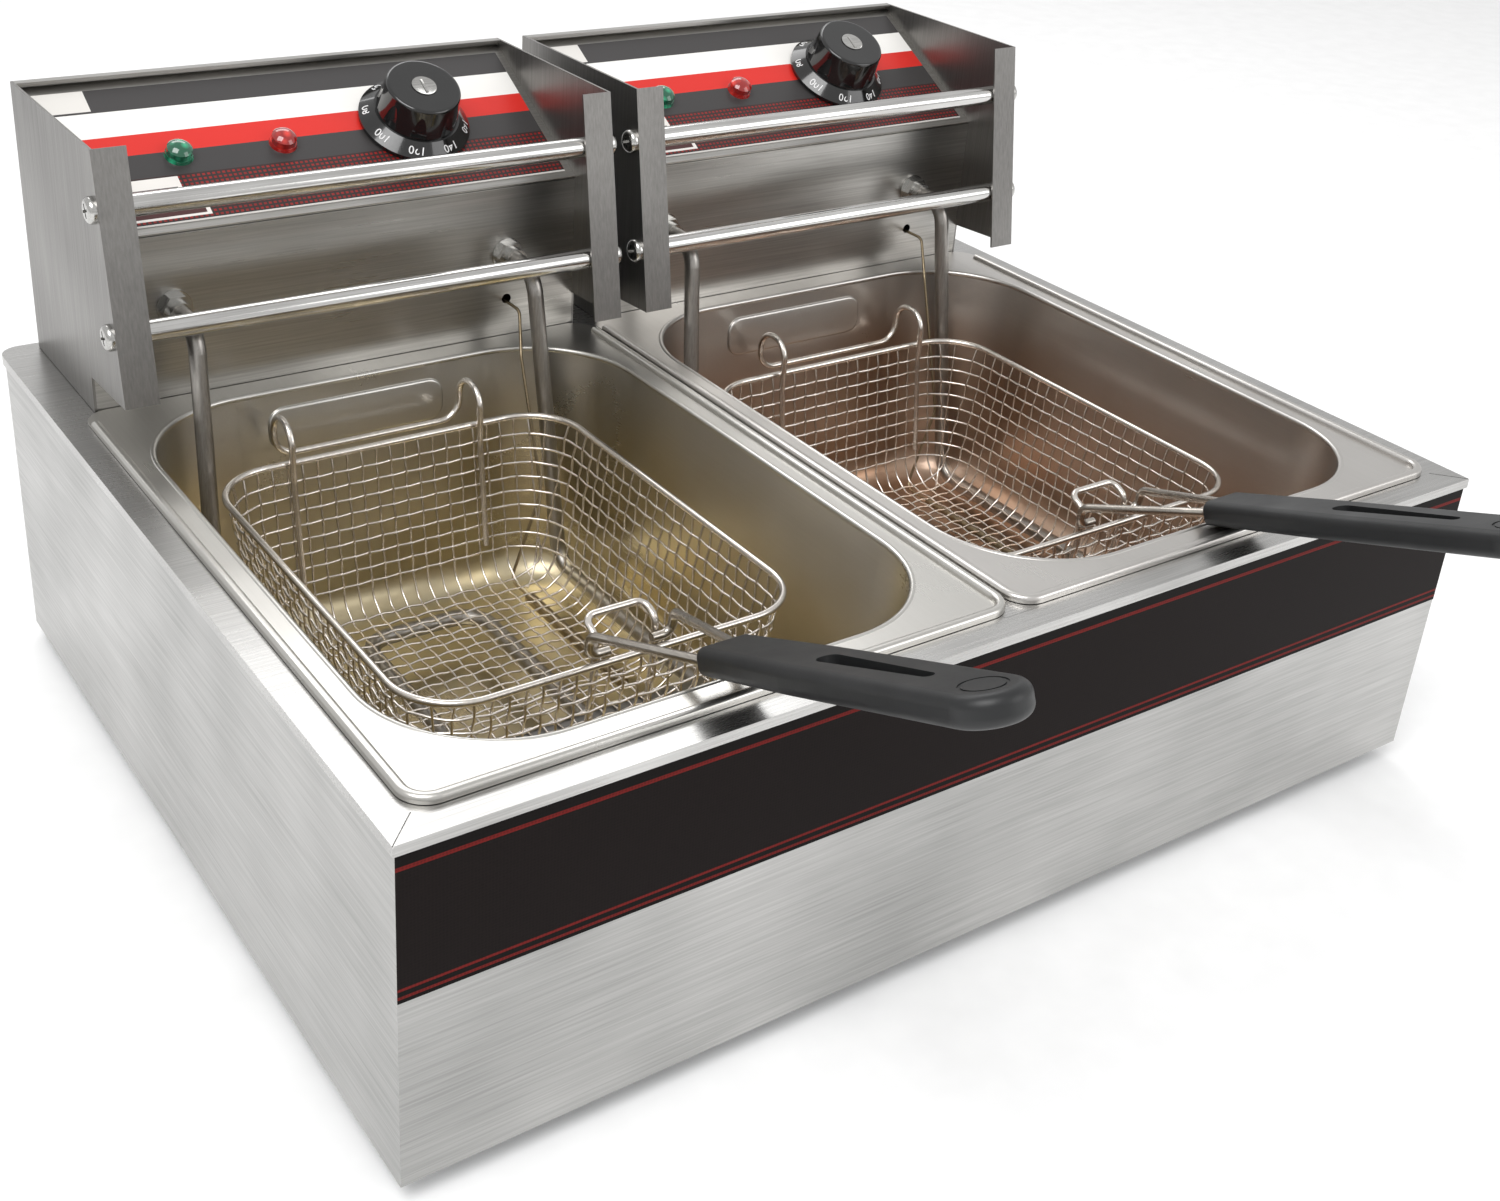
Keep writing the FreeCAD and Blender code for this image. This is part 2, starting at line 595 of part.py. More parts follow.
def side_plate(cx, sign):
    """Return one side plate with its folded front flange."""
    front_low = DECK_Z + PLATE_FRONT_LIFT
    neck_low = DECK_Z + PLATE_NECK_LIFT
    outline = [(PLATE_FRONT_BOTTOM_Y, front_low), (FACE_Y, neck_low), (FACE_Y, HEAD_BASE_Z),
               (HEAD_BACK_Y, HEAD_BASE_Z), (HEAD_BACK_Y, HEAD_TOP), (PLATE_FRONT_TOP_Y, HEAD_TOP)]
    outer = cx + sign * HEAD_WIDTH / 2
    inner = cx + sign * PLATE_INNER
    plate = profile_x(outline, min(outer, inner), max(outer, inner))
    along = unit((PLATE_FRONT_BOTTOM_Y, front_low), (PLATE_FRONT_TOP_Y, HEAD_TOP))
    in_y, in_z = along[1] * HEAD_SHEET, -along[0] * HEAD_SHEET
    flange = [(PLATE_FRONT_BOTTOM_Y, front_low), (PLATE_FRONT_TOP_Y, HEAD_TOP),
              (PLATE_FRONT_TOP_Y + in_y, HEAD_TOP + in_z), (PLATE_FRONT_BOTTOM_Y + in_y, front_low + in_z)]
    edge = cx + sign * (HEAD_WIDTH / 2 - PLATE_FLANGE)
    plate = plate.fuse(profile_x(flange, min(outer, edge), max(outer, edge)))
    for z in (ROD_UPPER_Z, ROD_LOWER_Z):
        hole_y = rod_y(z)
        plate = plate.cut(rod(V(outer + sign, hole_y, z), V(inner - sign, hole_y, z),
                              ROD_SCREW_SHANK / 2 + THREAD_GAP))
    return plate.removeSplitter()


def rod_y(z):
    """Return how far back a hanging rod at height z lies behind the leaning flange."""
    front_low = DECK_Z + PLATE_FRONT_LIFT
    share = (z - front_low) / (HEAD_TOP - front_low)
    return PLATE_FRONT_BOTTOM_Y + share * (PLATE_FRONT_TOP_Y - PLATE_FRONT_BOTTOM_Y) + ROD_SETBACK


def rods(cx, tag):
    """Make the two hanging rods and the four screws that hold them."""
    bars, screws = [], []
    for z in (ROD_UPPER_Z, ROD_LOWER_Z):
        y = rod_y(z)
        bar = rod(V(cx - PLATE_INNER, y, z), V(cx + PLATE_INNER, y, z), ROD_DIAMETER / 2)
        for sign in (-1, 1):
            end = V(cx + sign * PLATE_INNER, y, z)
            deep = V(sign * (ROD_SCREW_LENGTH + ROD_BORE_SPARE), 0, 0)
            bar = bar.cut(rod(end + V(sign, 0, 0), end - deep, ROD_SCREW_SHANK / 2 + THREAD_GAP))
            screws.append(rod_screw(cx + sign * HEAD_WIDTH / 2, y, z, sign))
        bars.append(bar)
    NODES["hanging_rods_" + tag] = group(bars)
    NODES["rod_screws_" + tag] = group(screws)


def rod_screw(x, y, z, sign):
    """Return a pan-head screw with a cross recess, its head outward along sign."""
    tall = ROD_SCREW_TALL
    solid = Part.makeCylinder(ROD_SCREW_HEAD / 2, tall, V(0, 0, 0), V(0, 0, 1))
    solid = solid.makeFillet(ROD_SCREW_ROUND, edges_above(solid, tall))
    for angle in (RECESS_TURN, RECESS_TURN + 90):
        arm = block(-RECESS_REACH, RECESS_REACH, -RECESS_HALF_WIDTH, RECESS_HALF_WIDTH, tall - RECESS_DEPTH,
                    tall + PAST)
        arm.rotate(V(0, 0, 0), V(0, 0, 1), angle)
        solid = solid.cut(arm)
    length = HEAD_SHEET + ROD_SCREW_LENGTH
    solid = solid.fuse(Part.makeCylinder(ROD_SCREW_SHANK / 2, length, V(0, 0, -length), V(0, 0, 1)))
    solid.rotate(V(0, 0, 0), V(0, 1, 0), 90 * sign)
    solid.translate(V(x, y, z))
    return solid


def controls(cx, tag):
    """Make the sloping panel, its printed film, the lamps, the knob and the thermostat."""
    t = PANEL_SHEET
    room = HEAD_BACK_Y - t * (1 + math.sin(PANEL_RAD)) - SEAT_GAP - FACE_Y
    length = room / math.cos(PANEL_RAD)
    panel = block(-PLATE_INNER, PLATE_INNER, 0, length, -t, 0)
    film = block(-PLATE_INNER + PANEL_BORDER, PLATE_INNER - PANEL_BORDER, PANEL_BORDER,
                 length - FILM_TOP_MARGIN, 0, FILM)
    holes = [(GREEN_LAMP_X, LAMP_S, LAMP_BARREL_RADIUS), (RED_LAMP_X, LAMP_S, LAMP_BARREL_RADIUS),
             (KNOB_X, KNOB_S, BUSH_DIAMETER / 2)]
    for x, up, radius in holes:
        bore = rod(V(x, up, -t - PAST), V(x, up, FILM + PAST), radius + THREAD_GAP)
        panel, film = panel.cut(bore), film.cut(bore)
    NODES["control_panel_" + tag] = on_panel(panel, cx)
    NODES["panel_overlay_" + tag] = on_panel(film, cx)
    NODES["green_lamp_" + tag] = on_panel(lamp(GREEN_LAMP_X), cx)
    NODES["red_lamp_" + tag] = on_panel(lamp(RED_LAMP_X), cx)
    NODES["knob_" + tag] = on_panel(knob(), cx)
    NODES["thermostat_" + tag] = on_panel(thermostat(), cx)
    shaft = rod(V(KNOB_X, KNOB_S, -SHAFT_BOTTOM), V(KNOB_X, KNOB_S, SHAFT_TOP), SHAFT_DIAMETER / 2)
    edge = KNOB_S + SHAFT_DIAMETER / 2
    flat = block(KNOB_X - SHAFT_DIAMETER, KNOB_X + SHAFT_DIAMETER, edge - SHAFT_FLAT_DEPTH, edge + PAST,
                 SHAFT_FLAT_START, SHAFT_TOP + PAST)
    NODES["thermostat_shaft_" + tag] = on_panel(shaft.cut(flat), cx)


def thermostat():
    """Return the thermostat's body, mounting ears, threaded bush and terminal tabs."""
    x, s, low = KNOB_X, KNOB_S, -THERMOSTAT_DEPTH
    half_w, half_l = THERMOSTAT_WIDTH / 2, THERMOSTAT_LENGTH / 2
    ear_w, ear_l = THERMOSTAT_EAR_WIDTH / 2, THERMOSTAT_EAR_LENGTH / 2
    body = block(x - half_w, x + half_w, s - half_l, s + half_l, low, -THERMOSTAT_DROP)
    ears = block(x - ear_w, x + ear_w, s - ear_l, s + ear_l, -THERMOSTAT_DROP, -PANEL_SHEET)
    bush = rod(V(x, s, -PANEL_SHEET), V(x, s, BUSH_HEIGHT), BUSH_DIAMETER / 2)
    body = body.fuse([ears, bush])
    bore = rod(V(x, s, -SHAFT_BOTTOM - PAST), V(x, s, BUSH_HEIGHT + PAST), SHAFT_DIAMETER / 2 + SHAFT_GAP)
    tabs = []
    for step in (-TAB_PITCH, 0, TAB_PITCH):
        left, front = x + step - TAB_WIDTH / 2, s - TAB_OFFSET
        tabs.append(block(left, left + TAB_WIDTH, front, front + TAB_SHEET, low - TAB_LENGTH, low))
    return body.cut(bore).fuse(tabs)


def lamp(x):
    """Return an indicator lamp: domed lens, bezel and barrel."""
    low, top = FILM, FILM + LAMP_BEZEL
    bezel = Part.makeCone(LAMP_RADIUS, LAMP_RADIUS - LAMP_BEZEL_TAPER, LAMP_BEZEL, V(x, LAMP_S, low))
    dome = Part.makeSphere(LAMP_DOME_RADIUS, V(x, LAMP_S, top - LAMP_DOME_SINK))
    keep = rod(V(x, LAMP_S, top), V(x, LAMP_S, top + LAMP_DOME_RADIUS), LAMP_DOME_EDGE)
    barrel = rod(V(x, LAMP_S, -LAMP_BARREL_LENGTH), V(x, LAMP_S, low), LAMP_BARREL_RADIUS)
    return bezel.fuse([dome.common(keep), barrel]).removeSplitter()


def knob():
    """Return the skirted knob with its lobed cap and blind bore."""
    low = KNOB_LIFT
    skirt_top = low + KNOB_SKIRT_HEIGHT
    top = low + KNOB_HEIGHT
    centre = V(KNOB_X, KNOB_S, low)
    ledge = centre + V(0, 0, KNOB_DISC)
    disc = rod(centre, ledge, KNOB_SKIRT_RADIUS)
    skirt = Part.makeCone(KNOB_SKIRT_RADIUS, KNOB_CAP_RADIUS + PAST, KNOB_SKIRT_HEIGHT - KNOB_DISC, ledge)
    cap = Part.makeCone(KNOB_CAP_RADIUS, KNOB_TOP_RADIUS, top - skirt_top, V(KNOB_X, KNOB_S, skirt_top))
    for i in range(KNOB_LOBES):
        turn = 2 * math.pi * (i + 0.5) / KNOB_LOBES
        spot = V(KNOB_X + KNOB_LOBE_CENTRE * math.cos(turn), KNOB_S + KNOB_LOBE_CENTRE * math.sin(turn),
                 skirt_top + PAST)
        cap = cap.cut(rod(spot, spot + V(0, 0, KNOB_HEIGHT), KNOB_LOBE_RADIUS))
    cap = cap.makeFillet(KNOB_EDGE, edges_above(cap, top))
    dimple = rod(V(KNOB_X, KNOB_S, top - KNOB_DIMPLE), V(KNOB_X, KNOB_S, top + PAST), KNOB_DIMPLE_RADIUS)
    cap = cap.cut(dimple)
    below = centre - V(0, 0, PAST)
    bore = rod(below, V(KNOB_X, KNOB_S, SHAFT_TOP + SHAFT_GAP), SHAFT_DIAMETER / 2 + SHAFT_GAP)
    relief = rod(below, V(KNOB_X, KNOB_S, BUSH_HEIGHT + MOVING_GAP), BUSH_DIAMETER / 2 + MOVING_GAP)
    return disc.fuse([skirt, cap]).cut(bore).cut(relief)


def element(cx, low, tag):
    """Make the heating element, its fittings, its strap and the thermostat bulb."""
    p, wide, inner = ELEMENT_HALF_PITCH, ELEMENT_LOW_HALF_PITCH, ELEMENT_INNER_PITCH
    front, rear, drop, entry = ELEMENT_FRONT_Y, ELEMENT_REAR_Y, ELEMENT_DROP_Y, ELEMENT_ENTRY_Z
    inside = FACE_Y + ELEMENT_ENTRY_DEPTH
    half = [V(p, inside, entry), V(p, drop, entry), V(wide, ELEMENT_LOW_Y, low), V(wide, front, low),
            V(inner, front, low), V(inner, rear, low)]
    mirrored = [V(-q.x, q.y, q.z) for q in half]
    tube = bent_wire([q + V(cx, 0, 0) for q in mirrored + half[::-1]], ELEMENT_BEND, ELEMENT_DIAMETER)
    NODES["heating_element_" + tag] = tube

    fittings = []
    bore_r = ELEMENT_DIAMETER / 2 + THREAD_GAP
    reach = WASHER_SHEET + NUT_TALL + COLLAR_LENGTH
    for x in (-p, p):
        at = V(cx + x, FACE_Y, entry)
        bore = rod(at + V(0, PAST, 0), at - V(0, reach + PAST, 0), bore_r)
        nut_at = at - V(0, WASHER_SHEET, 0)
        washer = rod(at, nut_at, WASHER_RADIUS).cut(bore)
        collar = rod(nut_at - V(0, NUT_TALL, 0), at - V(0, reach, 0), COLLAR_RADIUS)
        fittings += [washer, hexagon(nut_at, NUT_FLATS, NUT_TALL).fuse(collar).cut(bore).removeSplitter()]
    NODES["element_nuts_" + tag] = group(fittings)

    strap_z = low + ELEMENT_DIAMETER / 2
    edge = wide + STRAP_OVERHANG
    NODES["element_strap_" + tag] = block(cx - edge, cx + edge, STRAP_FRONT_Y, STRAP_FRONT_Y + STRAP_WIDTH,
                                          strap_z, strap_z + STRAP_SHEET)

    bulb_x = cx + BULB_X
    bulb = rod(V(bulb_x, rear, low), V(bulb_x, rear - BULB_LENGTH, low), BULB_DIAMETER / 2)
    hole_z = SENSOR_Z - SENSOR_HOLE_RADIUS + CAPILLARY_DIAMETER / 2 + SEAT_GAP
    side = cx + CAPILLARY_X
    lead = bent_wire([V(cx + p, FACE_Y + HEAD_LEDGE, hole_z), V(cx + p, FACE_Y - HEAD_LEDGE, hole_z),
                      V(side, drop, DECK_Z), V(side, ELEMENT_LOW_Y, low + BULB_LENGTH / 2),
                      V(bulb_x, rear + CAPILLARY_X / 4, low), V(bulb_x, rear - PAST, low)], CAPILLARY_BEND,
                     CAPILLARY_DIAMETER)
    NODES["sensor_bulb_" + tag] = bulb.fuse(lead)


def hexagon(at, flats, tall):
    """Return a hexagonal nut blank that grows toward the front from a point."""
    radius = flats / math.sqrt(3)
    ring = []
    for i in range(7):
        turn = math.radians(60 * i)
        ring.append(V(at.x + radius * math.cos(turn), at.y, at.z + radius * math.sin(turn)))
    return Part.Face(Part.makePolygon(ring)).extrude(V(0, -tall, 0))


def inner_parts(cx, tag, reset_at, gland_at):
    """Make the limiter, its reset button, the terminal block and the cord inlet."""
    wall = HEAD_BACK_Y - PANEL_SHEET
    inner = V(reset_at.x, wall, reset_at.z)
    limiter = block(inner.x - LIMITER_HALF_WIDTH, inner.x + LIMITER_HALF_WIDTH, wall - LIMITER_DEPTH, wall,
                    inner.z - LIMITER_HALF_HEIGHT, inner.z + LIMITER_HALF_HEIGHT)
    bore = rod(inner - V(0, LIMITER_BORE, 0), inner + V(0, PAST, 0), RESET_RADIUS + MOVING_GAP)
    NODES["overheat_limiter_" + tag] = limiter.cut(bore)
    button = rod(inner - V(0, RESET_DEPTH, 0), reset_at + V(0, RESET_STAND, 0), RESET_RADIUS)
    tip = [e for e in button.Edges if e.BoundBox.YMin > HEAD_BACK_Y + RESET_STAND - TOUCH]
    NODES["reset_button_" + tag] = button.makeFillet(RESET_EDGE, tip)

    floor = HEAD_BASE_Z + PANEL_SHEET
    front, left = FACE_Y + TERMINAL_SETBACK, cx + TERMINAL_LEFT_X
    rear = front + TERMINAL_LENGTH
    bench = floor + TERMINAL_FLOOR
    terminal = block(left, left + TERMINAL_WIDTH, front, rear, floor, floor + TERMINAL_HEIGHT)
    for i in range(TERMINAL_WAYS):
        x = left + TERMINAL_FIRST + TERMINAL_PITCH * i
        slot = block(x - TERMINAL_SLOT / 2, x + TERMINAL_SLOT / 2, front - PAST, rear + PAST, bench,
                     floor + TERMINAL_HEIGHT + PAST)
        screw = rod(V(x, (front + rear) / 2, bench), V(x, (front + rear) / 2, floor + TERMINAL_SCREW_TOP),
                    TERMINAL_SCREW_RADIUS)
        terminal = terminal.cut(slot).fuse(screw)
    NODES["terminal_block_" + tag] = terminal

    flange, nose = gland_at + V(0, GLAND_FLANGE, 0), gland_at + V(0, GLAND_LENGTH, 0)
    nut_face = V(gland_at.x, wall, gland_at.z)
    gland = rod(gland_at, flange, GLAND_RADIUS)
    gland = gland.fuse([rod(flange, nose, GLAND_NOSE_RADIUS),
                        rod(gland_at, nut_face, GLAND_THREAD - THREAD_GAP),
                        hexagon(nut_face, GLAND_NUT_FLATS, GLAND_NUT)])
    bore = rod(nose + V(0, PAST, 0), nut_face - V(0, GLAND_NUT + PAST, 0), GLAND_BORE)
    NODES["cable_gland_" + tag] = gland.cut(bore).removeSplitter()


def basket(centre, shift, hook_shift, rim_z, tag):
    """Make the basket: mesh body, rim wire, hanging hooks and handle bracket."""
    cx = centre + shift
    length = BASKET_LENGTH - WIRE_DIAMETER
    width = BASKET_WIDTH - WIRE_DIAMETER
    cy, wall = BASKET_CENTRE_Y, BASKET_WALL
    top_z = rim_z - WIRE_R
    floor_z = top_z - BASKET_DEPTH
    floor_w, floor_l = width - 2 * BASKET_DRAFT, length - 2 * BASKET_DRAFT
    outside = tub(rounded_wire(cx, cy, top_z, width, length, BASKET_CORNER),
                  rounded_wire(cx, cy, floor_z, floor_w, floor_l, BASKET_LOW_CORNER), BASKET_FLOOR_RADIUS)
    inside = tub(rounded_wire(cx, cy, top_z, width - 2 * wall, length - 2 * wall, BASKET_CORNER - wall),
                 rounded_wire(cx, cy, floor_z + wall, floor_w - 2 * wall, floor_l - 2 * wall,
                              BASKET_LOW_CORNER - wall), BASKET_FLOOR_RADIUS - wall)
    NODES["basket_mesh_" + tag] = outside.cut(inside)

    path = rounded_wire(cx, cy, rim_z, width, length, BASKET_CORNER)
    start = path.Edges[1].Vertexes[0].Point
    along = path.Edges[1].tangentAt(path.Edges[1].FirstParameter)
    ring = Part.Wire([Part.makeCircle(WIRE_R, start, along)])
    order = path.Edges[1:] + path.Edges[:1]
    NODES["basket_rim_" + tag] = Part.Wire(order).makePipeShell([ring], True, False)

    bend_z, low_z = rim_z - LEG_BEND_DROP, rim_z - LEG_DROP
    leg_y = RIM_REAR_Y - leg_inset(LEG_BEND_DROP)
    low_y = RIM_REAR_Y - leg_inset(LEG_DROP)
    bar_y, bar_z, top = leg_y + 2 * HOOK_RADIUS, rim_z - HOOK_BAR_DROP, rim_z + HOOK_RISE
    ends = []
    hook_x = centre + hook_shift
    for x in (hook_x - HOOK_HALF_PITCH, hook_x + HOOK_HALF_PITCH):
        ends.append([V(x, low_y, low_z), V(x, leg_y, bend_z), V(x, leg_y, top), V(x, bar_y, top),
                     V(x, bar_y, bar_z)])
    NODES["basket_hooks_" + tag] = bent_wire(ends[0] + ends[1][::-1], HOOK_BEND, WIRE_DIAMETER)

    leg_y = PIVOT_Y + HANDLE_WIRE / 2 + WIRE_R + MOVING_GAP
    low_y = RIM_FRONT_Y + leg_inset(LEG_DROP)
    top = rim_z + BRACKET_RISE
    ends = []
    for x in (centre - BRACKET_HALF_WIDTH, centre + BRACKET_HALF_WIDTH):
        ends.append([V(x, low_y, low_z), V(x, leg_y, bend_z), V(x, leg_y, top - BRACKET_SLOPE),
                     V(x, leg_y + BRACKET_REACH, top)])
    NODES["handle_bracket_" + tag] = bent_wire(ends[0] + ends[1][::-1], BRACKET_BEND, WIRE_DIAMETER)


def leg_inset(drop):
    """Return how far inside the rim's centre line a wire welded to the basket's wall lies."""
    return BASKET_WALL + BASKET_DRAFT * (drop - WIRE_R) / BASKET_DEPTH + WIRE_R + WELD_GAP


def handle(cx, rim_z, rise, slope, tag):
    """Make the sprung handle wires and the moulded grip, which slopes up toward the front."""
    angle = math.radians(slope)
    out = V(0, -math.cos(angle), math.sin(angle))
    pivot_z = rim_z + WIRE_R + HANDLE_WIRE / 2 + 2 * MOVING_GAP
    grip_y, grip_z = PIVOT_Y - GRIP_START_REACH, pivot_z + rise
    wires = []
    for sign in (-1, 1):
        x = cx + sign * HANDLE_HALF_WIDTH
        at_grip = V(cx + sign * HANDLE_GRIP_HALF, grip_y, grip_z)
        inner_x = cx + sign * (BRACKET_HALF_WIDTH - WIRE_R - HANDLE_TIP_GAP)
        shoulder = V(x, PIVOT_Y - HANDLE_SHOULDER_LEAN, rim_z + HANDLE_SHOULDER_RISE)
        wires.append(bent_wire([V(inner_x, PIVOT_Y, pivot_z), V(x, PIVOT_Y, pivot_z), shoulder, at_grip,
                                at_grip + out * GRIP_TANG], HANDLE_BEND, HANDLE_WIRE))
    NODES["handle_wire_" + tag] = group(wires)

    solid = grip_solid()
    solid.Placement = FreeCAD.Placement(V(cx, grip_y, grip_z), FreeCAD.Rotation(V(1, 0, 0), -slope))
    NODES["handle_grip_" + tag] = solid.cut(wires)


def grip_solid():
    """Return the grip lying along -Y from its neck, flat, with its slot."""
    neck, half, tall = GRIP_NECK_WIDTH / 2, GRIP_WIDTH / 2, GRIP_THICKNESS / 2
    z = -tall
    end = -GRIP_LENGTH + half
    shoulder = -GRIP_LENGTH * GRIP_SHOULDER_SHARE
    a, b = V(-neck, 0, z), V(neck, 0, z)
    c, d = V(half, shoulder, z), V(half, end, z)
    e, f = V(-half, end, z), V(-half, shoulder, z)
    outline = Part.Wire([Part.LineSegment(a, b).toShape(), Part.LineSegment(b, c).toShape(),
                         Part.LineSegment(c, d).toShape(), Part.Arc(d, V(0, -GRIP_LENGTH, z), e).toShape(),
                         Part.LineSegment(e, f).toShape(), Part.LineSegment(f, a).toShape()])
    body = slab(outline, GRIP_THICKNESS)
    long_edges = [g for g in body.Edges if g.BoundBox.ZLength < TOUCH and g.BoundBox.YMin < -PAST]
    body = body.makeFillet(GRIP_EDGE, long_edges)
    body = body.makeChamfer(GRIP_NECK_BEVEL, [g for g in body.Edges if g.BoundBox.YMin > -TOUCH])
    wide, narrow = SLOT_WIDTH / 2, SLOT_TIP_WIDTH / 2
    y0, y1 = -SLOT_START, -SLOT_START - SLOT_LENGTH
    low = z - PAST
    p, q = V(-wide, y0 - wide, low), V(wide, y0 - wide, low)
    r, s = V(narrow, y1 + narrow, low), V(-narrow, y1 + narrow, low)
    slot = Part.Wire([Part.Arc(p, V(0, y0, low), q).toShape(), Part.LineSegment(q, r).toShape(),
                      Part.Arc(r, V(0, y1, low), s).toShape(), Part.LineSegment(s, p).toShape()])
    body = body.cut(slab(slot, GRIP_THICKNESS + 2 * PAST))
    at, deep = V(0, end, tall - MARK_DEPTH), 2 * MARK_DEPTH
    mark = Part.makeCylinder(MARK_RADIUS, deep, at).cut(Part.makeCylinder(MARK_RADIUS - MARK_WIDTH, deep, at))
    return body.cut(mark)


def centre_line_y():
    """Return the Y midway between the foremost grip tip and the rearmost cable gland."""
    fronts = [NODES["handle_grip_" + tag].optimalBoundingBox(False).YMin for tag in ("left", "right")]
    backs = [NODES["cable_gland_" + tag].optimalBoundingBox(False).YMax for tag in ("left", "right")]
    return (min(fronts) + max(backs)) / 2


def main():
    """Make every piece and write one file for each."""
    casing()
    half = TANK_PITCH / 2
    for tag, cx, lift in (("left", -half, LEFT_ELEMENT_LIFT), ("right", half, RIGHT_ELEMENT_LIFT)):
        NODES["tank_" + tag] = tank(cx)
        head(cx, lift, tag)
    left, right = rim_height(LEFT_ELEMENT_LIFT), rim_height(RIGHT_ELEMENT_LIFT)
    basket(-half, LEFT_BASKET_X, LEFT_HOOK_X, left, "left")
    basket(half, RIGHT_BASKET_X, RIGHT_HOOK_X, right, "right")
    handle(-half, left, LEFT_GRIP_RISE, LEFT_GRIP_ANGLE, "left")
    handle(half, right, RIGHT_GRIP_RISE, RIGHT_GRIP_ANGLE, "right")
    os.makedirs("parts", exist_ok=True)
    to_centre = V(0, -centre_line_y(), 0)
    for name, shape in NODES.items():
        shape = shape.copy()
        shape.translate(to_centre)
        shape.exportStep("parts/" + name + ".step")
        box = shape.BoundBox
        state = "ok" if shape.isValid() else "INVALID"
        print("%-26s %s solids %d volume %.0f z %.1f..%.1f" % (name, state, len(shape.Solids), shape.Volume,
                                                              box.ZMin, box.ZMax))
    print(len(NODES), "nodes, moved by", to_centre)


main()
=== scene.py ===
"""Twin-tank countertop deep fryer, dressed for a studio picture.

Lengths in the dataclass fields are millimetres, and MM turns them to metres. Only the studio's
places and sizes are metres. X runs to the user's right, Y to the back and Z up.
"""
import logging
import math
from dataclasses import dataclass
from enum import Enum

import bmesh
import bpy
from mathutils import Matrix, Vector


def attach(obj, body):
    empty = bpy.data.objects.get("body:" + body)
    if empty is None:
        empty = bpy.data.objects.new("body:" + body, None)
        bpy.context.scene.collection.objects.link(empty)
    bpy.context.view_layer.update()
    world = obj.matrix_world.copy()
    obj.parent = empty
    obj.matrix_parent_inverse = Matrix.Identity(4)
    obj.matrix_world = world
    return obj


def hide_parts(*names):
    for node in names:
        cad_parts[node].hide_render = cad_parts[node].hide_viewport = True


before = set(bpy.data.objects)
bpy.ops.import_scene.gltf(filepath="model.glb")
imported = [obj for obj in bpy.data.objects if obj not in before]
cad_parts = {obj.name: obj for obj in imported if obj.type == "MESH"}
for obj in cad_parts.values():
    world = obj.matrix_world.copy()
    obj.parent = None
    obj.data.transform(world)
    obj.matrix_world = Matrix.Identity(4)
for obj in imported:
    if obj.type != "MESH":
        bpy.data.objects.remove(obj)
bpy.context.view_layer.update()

LOG = logging.getLogger("fryer")
MM = 0.001
# Where the middle of the casing lies along Y.
CASING_MIDDLE_Y = 58.536
# Corners of a mesh nearer than this are merged.
MERGE_DISTANCE = 0.002
# Noise seldom leaves this range, so most ramps span it.
NOISE_LOW = 0.3
NOISE_HIGH = 0.7
# How deep a belt's scratches and a mould's orange peel are drawn.
SCRATCH_DEPTH = 0.05
PEEL_DEPTH = 0.1
# A belt scratch is about 0.1 mm wide, too fine to show. Each ground or drawn finish draws its
# grain 0.6 to 2 mm wide instead, and this long.
SCRATCH_LENGTH = 55.0
# The middle of the right tank. The left one's lies as far to the other side.
TANK_X = 133.5
TANK_Y = CASING_MIDDLE_Y - 39.5
TANK_MIDDLE_Z = 110.0
# A face counts as a side wall, or as a top, when this share of its normal points that way.
SIDEWAYS = 0.7
UPWARD = 0.9


class Side(Enum):
    """The two halves of the fryer."""

    LEFT = "left"
    RIGHT = "right"


class Axis(Enum):
    """The direction that a brushed grain runs in."""

    X = 0
    Y = 1
    Z = 2


# ---------------------------------------------------------------- helpers
def colour(code: str) -> tuple[float, float, float, float]:
    """Turn an sRGB hex code to linear light.

    Args:
        code: Six hex digits, with or without a leading hash.

    Returns:
        Red, green, blue and alpha, each from 0 to 1.
    """
    digits = code.lstrip("#")
    parts = [int(digits[i:i + 2], 16) / 255 for i in (0, 2, 4)]
    linear = [p / 12.92 if p <= 0.04045 else ((p + 0.055) / 1.055) ** 2.4 for p in parts]
    return (linear[0], linear[1], linear[2], 1.0)


def add_node(tree: bpy.types.NodeTree, kind: str, attributes: dict | None = None,
             inputs: dict | None = None) -> bpy.types.Node:
    """Add a node with its settings and links.

    Args:
        tree: The node tree that gets the node.
        kind: The node's type name.
        attributes: Settings of the node itself.
        inputs: Input sockets by name or index, each given a value or another node's output.

    Returns:
        The new node.
    """
    node = tree.nodes.new(kind)
    for name, value in (attributes or {}).items():
        setattr(node, name, value)
    for name, value in (inputs or {}).items():
        if isinstance(value, bpy.types.NodeSocket):
            tree.links.new(value, node.inputs[name])
        else:
            node.inputs[name].default_value = value
    return node


def set_ramp(node: bpy.types.Node, stops: list[tuple[float, str]],
             interpolation: str = "LINEAR") -> None:
    """Give a colour ramp its stops.

    Args:
        node: The colour ramp node.
        stops: Places from 0 to 1, each with an sRGB hex code.
        interpolation: How the ramp goes from one stop to the next.
    """
    ramp = node.color_ramp
    ramp.interpolation = interpolation
    while len(ramp.elements) > 1:
        ramp.elements.remove(ramp.elements[-1])
    ramp.elements[0].position, ramp.elements[0].color = stops[0][0], colour(stops[0][1])
    for place, code in stops[1:]:
        ramp.elements.new(place).color = colour(code)


def deselect() -> None:
    """Leave nothing selected and no mesh in edit mode."""
    if bpy.context.object is not None and bpy.context.object.mode != "OBJECT":
        bpy.ops.object.mode_set(mode="OBJECT")
    bpy.ops.object.select_all(action="DESELECT")


def pick(obj: bpy.types.Object) -> None:
    """Make one object the only selected and active one.

    Args:
        obj: The object to pick.
    """
    deselect()
    obj.select_set(True)
    bpy.context.view_layer.objects.active = obj


